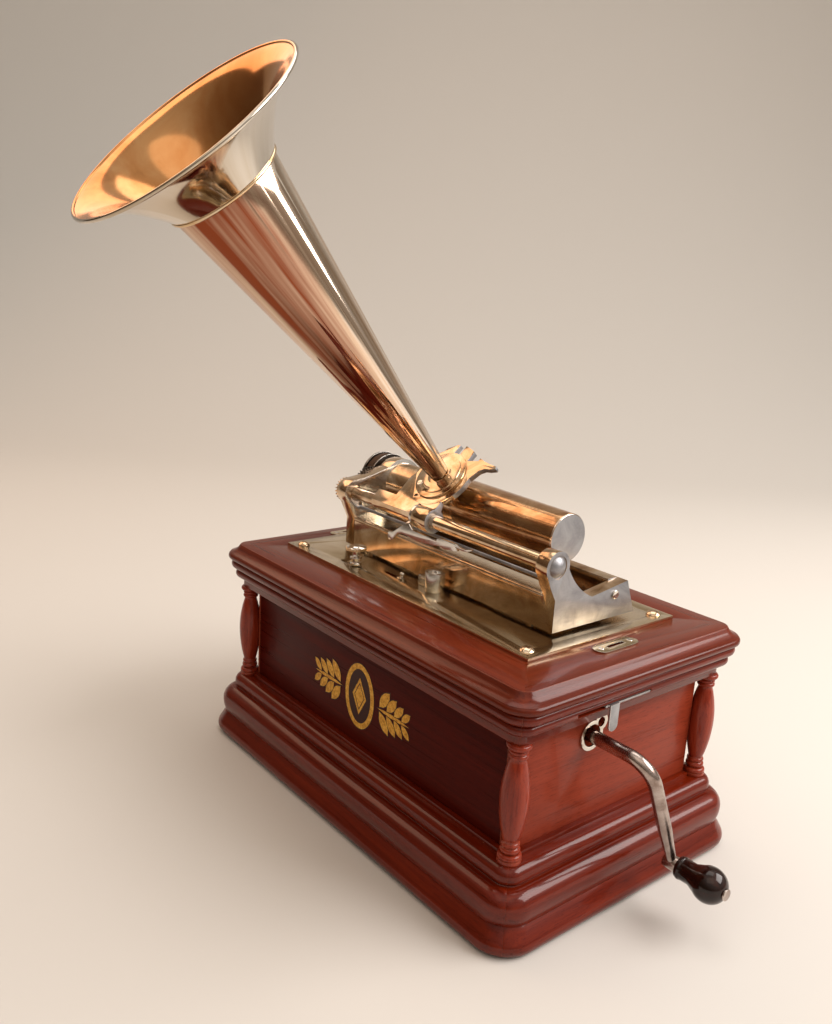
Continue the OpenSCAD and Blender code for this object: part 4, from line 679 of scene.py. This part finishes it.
# faces that were left as they came off the file or the lathe, told apart by how much they face one way
bareFaces = {
    "squareOn": 0.9,
    "upright": 0.3,
    "alongside": 0.15,
    "carriageFloor": 285 * mm,  # the carriage plate lies above this height
}
hornFoot = Vector(leanPoint(*hornPlate["axis"], 0))


def facesRight(centre, normal):
    return normal.x > bareFaces["squareOn"]


def facesSideways(centre, normal):
    return abs(normal.z) < bareFaces["upright"]


def facesHornAxis(centre, normal):
    out = centre - hornFoot
    out -= hornAxis * out.dot(hornAxis)
    return out.dot(normal) < 0


def isSawnEdge(centre, normal):
    square = abs(normal.dot(hornAxis)) < bareFaces["alongside"] and abs(normal.x) < bareFaces["squareOn"]
    return square and centre.z > bareFaces["carriageFloor"]


for nodeName in ("works_frame", "mandrel", "carriage"):
    faceFinish(worksPieces[nodeName], "satin", facesRight)
# painted light: the left standard's right-facing faces take the white glint finish, so its web shows lit
faceFinish(worksPieces["left_standard"], "paintedGlint", facesRight)
# painted highlight: the bedplate's sides take the bright tan edge tone, standing in for the line of light
# along its front edge
faceFinish(worksPieces["bedplate"], "rubbedEdgeAndHighlight", facesSideways)
# painted reflection: the bell's inner faces take the peach tone
faceFinish(worksPieces["horn_bell"], "bellInsideWarmReflection", facesHornAxis)
faceFinish(worksPieces["horn_cone"], "hornInside", facesHornAxis)
faceFinish(worksPieces["carriage"], "satin", isSawnEdge)
print("works dressed")

# the motor, the hinges and the other small inner nodes keep their CAD shapes, in brass and oiled steel
for nodeName, node in nodes.items():
    if nodeName not in caseFinish and nodeName not in worksFinish:
        node.data.materials.clear()
        node.data.materials.append(finishes["brass" if slotOf[nodeName] == "brass" else "steel"])
print("motor and hinges dressed")

# slotted screws, in millimetres: a turned head with a rounded rim and a sawn slot
slotScrew = {
    "sides": 32,
    "headRadius": 3.9,
    "headHeight": 2.4,
    "rim": 0.8,
    "rimSteps": 4,
    "slotWidth": 0.9,
    "slotDepth": 0.9,
    "studRadius": 3.0,
    "studHeight": 11,
    "endWall": (144.2, 36.5, 225.3),
    "endWallTurn": 35,
    "catchTop": 200.9,
    "catchScale": 0.66,
    "catchPlaces": ((177.75, 17.6, 30), (177.75, -16.4, 75), (-182.5, 17.6, 10), (-182.5, -16.4, 55)),
    "clampPlace": (-34.2, 177.4, 224.0),
    "clampTurn": 20,
}


def makeScrew(name, radius, height):
    bpy.ops.object.select_all(action="DESELECT")
    bpy.ops.mesh.primitive_cylinder_add(
        vertices=slotScrew["sides"], radius=radius * mm, depth=height * mm, location=(0, 0, 0)
    )
    screw = bpy.context.object
    screw.name = name
    underTop = 0.49 * height * mm
    selectEdges(screw, lambda a, b: min(a.z, b.z) > underTop)
    share = radius / slotScrew["headRadius"]
    bpy.ops.mesh.bevel(offset=slotScrew["rim"] * share * mm, segments=slotScrew["rimSteps"], profile=0.5)
    bpy.ops.object.mode_set(mode="OBJECT")
    bpy.ops.object.select_all(action="DESELECT")
    bpy.ops.mesh.primitive_cube_add(size=1, location=(0, 0, height * mm / 2))
    saw = bpy.context.object
    slotWidth = slotScrew["slotWidth"] * share
    slotDepth = slotScrew["slotDepth"] * share
    saw.scale = (3 * radius * mm, slotWidth * mm, 2 * slotDepth * mm)
    bpy.ops.object.transform_apply(scale=True)
    cut = screw.modifiers.new("slot", "BOOLEAN")
    cut.operation = "DIFFERENCE"
    cut.object = saw
    cut.solver = "EXACT"
    bpy.context.view_layer.objects.active = screw
    bpy.ops.object.modifier_apply(modifier=cut.name)
    bpy.data.objects.remove(saw)
    bpy.ops.object.select_all(action="DESELECT")
    screw.select_set(True)
    smoothBelow(35)
    screw.data.materials.append(finishes["silverPlate"])
    return screw


def placeScrew(source, name, place, facing, turn, scale, body):
    screw = bpy.data.objects.new(name, source.data.copy())
    scene.collection.objects.link(screw)
    aim = Vector(facing).to_track_quat("Z", "Y").to_matrix().to_4x4()
    screw.data.transform(
        Matrix.Translation(Vector(place) * mm) @ aim @ Matrix.Rotation(math.radians(turn), 4, "Z")
        @ Matrix.Scale(scale, 4)
    )
    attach(screw, body)


def makeScrews():
    head = makeScrew("head_screw", slotScrew["headRadius"], slotScrew["headHeight"])
    placeScrew(head, "end_wall_screw", slotScrew["endWall"], (1, 0, 0), slotScrew["endWallTurn"], 1.0, "lid")
    for i, (x, y, turn) in enumerate(slotScrew["catchPlaces"]):
        place = (x, y, slotScrew["catchTop"])
        placeScrew(head, f"catch_plate_screw_{i}", place, (0, 0, 1), turn, slotScrew["catchScale"], "lid")
    stud = makeScrew("clamp_stud", slotScrew["studRadius"], slotScrew["studHeight"])
    place = leanPoint(*slotScrew["clampPlace"])
    placeScrew(stud, "carriage_clamp_screw", place, hornAxis, slotScrew["clampTurn"], 1.0, "carriage_set")
    bpy.data.objects.remove(head)
    bpy.data.objects.remove(stud)


makeScrews()
print("screws placed")

# soldered bead over the joint of cone and bell, in millimetres: a round wire, spun about the horn's axis
seamBead = {
    "radius": 44.4,
    "wire": 1.5,
    "wireSides": 12,
    "along": 538.6,
    "steps": 96,
}


def makeSeamBead():
    bpy.ops.object.select_all(action="DESELECT")
    bpy.ops.mesh.primitive_circle_add(
        vertices=seamBead["wireSides"], radius=seamBead["wire"] * mm,
        location=(seamBead["radius"] * mm, 0, seamBead["along"] * mm), rotation=(math.pi / 2, 0, 0)
    )
    bead = bpy.context.object
    bead.name = "horn_seam_bead"
    bpy.ops.object.transform_apply(location=True, rotation=True)
    bpy.ops.object.mode_set(mode="EDIT")
    bpy.ops.mesh.select_all(action="SELECT")
    bpy.ops.mesh.spin(steps=seamBead["steps"], angle=2 * math.pi, center=(0, 0, 0), axis=(0, 0, 1))
    bpy.ops.mesh.select_all(action="SELECT")
    bpy.ops.mesh.remove_doubles(threshold=1e-6)
    bpy.ops.mesh.normals_make_consistent(inside=False)
    bpy.ops.object.mode_set(mode="OBJECT")
    x, s = hornPlate["axis"]
    bead.data.transform(Matrix.Rotation(lean, 4, "X") @ Matrix.Translation((x, s, 0)))
    smoothBelow(60)
    bead.data.materials.append(finishes["rubbedEdgeAndHighlight"])
    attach(bead, bodyOf["horn_bell"])


makeSeamBead()
print("horn bead made")

# knurled rim of the speed screw, in millimetres: one ridge, copied round the head
knurl = {
    "ridges": 40,
    "headRadius": 9.3,
    "ridgeRadius": 0.62,
    "ridgeSides": 8,
    "height": 2.6,
    "bevel": 0.3,
    "sink": 0.15,
    "centre": (-80.5, -64.0, 218.7),
}


def makeKnurl():
    bpy.ops.object.select_all(action="DESELECT")
    bpy.ops.mesh.primitive_cylinder_add(
        vertices=knurl["ridgeSides"], radius=knurl["ridgeRadius"] * mm, depth=knurl["height"] * mm
    )
    ridge = bpy.context.object
    selectEdges(ridge, lambda a, b: abs(a.z - b.z) < 1e-6)
    bpy.ops.mesh.bevel(offset=knurl["bevel"] * mm, segments=1)
    bpy.ops.object.mode_set(mode="OBJECT")
    ridge.data.materials.append(finishes["rubbedEdgeAndHighlight"])
    centre = Vector(knurl["centre"])
    reach = knurl["headRadius"] - knurl["sink"]
    copies = []
    for i in range(knurl["ridges"]):
        turn = 2 * math.pi * i / knurl["ridges"]
        copy = bpy.data.objects.new("ridge", ridge.data.copy())
        out = Vector((reach * math.cos(turn), reach * math.sin(turn), 0))
        copy.data.transform(Matrix.Translation((centre + out) * mm))
        scene.collection.objects.link(copy)
        copies.append(copy)
    bpy.data.objects.remove(ridge)
    rim = joinPieces(copies, copies[0], "speed_screw_knurl")
    smoothBelow(40)
    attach(rim, bodyOf["speed_screw"])


makeKnurl()
print("knurled rim made")

# gilt transfer on the front panel, in millimetres: a ringed lozenge between two leaf sprays, outlined dark
ornament = {
    "centre": (-4.5, 110.5),
    "panelFace": -108.75,
    "depth": 0.5,
    "proud": 0.12,
    "outline": 0.8,
    "ovalSides": 64,
    "ovalHalf": (22, 31),
    "ovalStep": 0.05,
    "ringWidth": 5.0,
    "lozengeHalf": (11, 19),
    "lozengeBand": 2.2,
    "lozengeStep": 0.12,
    "lozengeDome": 0.3,
    "leafSides": 16,
    "leafHalf": (11, 5.0),
    "leafBody": 0.8,  # share of the length before the tips are drawn out
    "leafDome": 0.25,
    "leafStep": 0.01,  # so that no two faces share a plane
    "leafPairs": 4,
    "leafSize": (1.15, 0.65),  # at the foot and at the tip of the stem
    "leafSpread": (52, 38),
    "leafMargin": (5, 4),
    "stemReach": (23, 73),
    "stemWidth": 0.42,
    "stemGap": 0.8,
}


def startPlate(sides, halfX, halfZ, proud):
    bpy.ops.object.select_all(action="DESELECT")
    depth = ornament["depth"] + proud
    bpy.ops.mesh.primitive_cylinder_add(vertices=sides, radius=1, depth=depth * mm, end_fill_type="NGON")
    plate = bpy.context.object
    plate.location = (0, 0, (proud - ornament["depth"]) / 2 * mm)
    plate.scale = (halfX * mm, halfZ * mm, 1)
    bpy.ops.object.transform_apply(location=True, scale=True)
    plate.data.materials.append(finishes["gilt"])
    plate.data.materials.append(finishes["ink"])
    return plate


gilt, ink = 0, 1  # places in a plate's list of materials


# each band sets the face in by a width, in gilt or in ink
def layBands(plate, bands, dome=0.0):
    for face in plate.data.polygons:
        face.material_index = ink
    selectFaces(plate, lambda face: face.normal.z > 0.9)
    for width, index in bands:
        bpy.ops.mesh.inset(thickness=width * mm, depth=0)
        bpy.ops.object.mode_set(mode="OBJECT")
        for face in plate.data.polygons:
            if face.select:
                face.material_index = index
        bpy.ops.object.mode_set(mode="EDIT")
    if dome:
        bpy.ops.mesh.poke(offset=dome * mm)
    bpy.ops.object.mode_set(mode="OBJECT")


def makeLeaf():
    halfX, halfZ = ornament["leafHalf"]
    body = ornament["leafBody"]
    leaf = startPlate(ornament["leafSides"], body * halfX, halfZ, ornament["proud"])
    nearTip = (body - 0.05) * halfX * mm
    draw = (1 - body) * halfX * mm
    selectEdges(leaf, lambda a, b: min(a.x, b.x) > nearTip and abs(a.x - b.x) < 1e-6)
    bpy.ops.transform.translate(value=(draw, 0, 0))
    selectEdges(leaf, lambda a, b: max(a.x, b.x) < -nearTip and abs(a.x - b.x) < 1e-6)
    bpy.ops.transform.translate(value=(-draw, 0, 0))
    bpy.ops.object.mode_set(mode="OBJECT")
    layBands(leaf, ((ornament["outline"], gilt),), dome=ornament["leafDome"])
    return leaf


def makeSprays():
    leaf = makeLeaf()
    leaves = []

    def addLeaf(x, z, turn, length, width):
        copy = bpy.data.objects.new("leaf", leaf.data.copy())
        lift = ornament["leafStep"] * len(leaves)
        copy.data.transform(
            Matrix.Translation((x * mm, z * mm, lift * mm)) @ Matrix.Rotation(math.radians(turn), 4, "Z")
            @ Matrix.Diagonal((length, width, 1, 1))
        )
        scene.collection.objects.link(copy)
        leaves.append(copy)

    near, far = ornament["stemReach"]
    first, last = near + ornament["leafMargin"][0], far - ornament["leafMargin"][1]
    footSize, tipSize = ornament["leafSize"]
    footSpread, tipSpread = ornament["leafSpread"]
    stemLength = (far - near) / 2 / ornament["leafHalf"][0]
    for side in (1, -1):
        addLeaf(side * (near + far) / 2, 0, 0 if side > 0 else 180, stemLength, ornament["stemWidth"])
        for i in range(ornament["leafPairs"]):
            share = i / ornament["leafPairs"]
            x = first + (last - first) * share
            size = footSize + (tipSize - footSize) * share
            spread = footSpread + (tipSpread - footSpread) * share
            reach = ornament["leafHalf"][0] * size
            for up in (1, -1):
                addLeaf(
                    side * (x + reach * math.cos(math.radians(spread))),
                    up * (ornament["stemGap"] + reach * math.sin(math.radians(spread))),
                    side * up * spread, size, size
                )
    bpy.data.objects.remove(leaf)
    return leaves


def makeOrnament():
    outline = ornament["outline"]
    parts = makeSprays()
    oval = startPlate(ornament["ovalSides"], *ornament["ovalHalf"], ornament["proud"] + ornament["ovalStep"])
    layBands(oval, ((outline, gilt), (ornament["ringWidth"], ink)))
    lozenge = startPlate(4, *ornament["lozengeHalf"], ornament["proud"] + ornament["lozengeStep"])
    layBands(
        lozenge, ((outline, gilt), (ornament["lozengeBand"], ink), (outline, gilt)),
        dome=ornament["lozengeDome"]
    )
    transfer = joinPieces(parts + [oval, lozenge], lozenge, "gilt_front_ornament")
    x, z = ornament["centre"]
    place = Vector((x, ornament["panelFace"], z)) * mm
    transfer.data.transform(Matrix.Translation(place) @ Matrix.Rotation(math.pi / 2, 4, "X"))
    smoothBelow(30)
    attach(transfer, "case")


makeOrnament()
print("gilt ornament made")
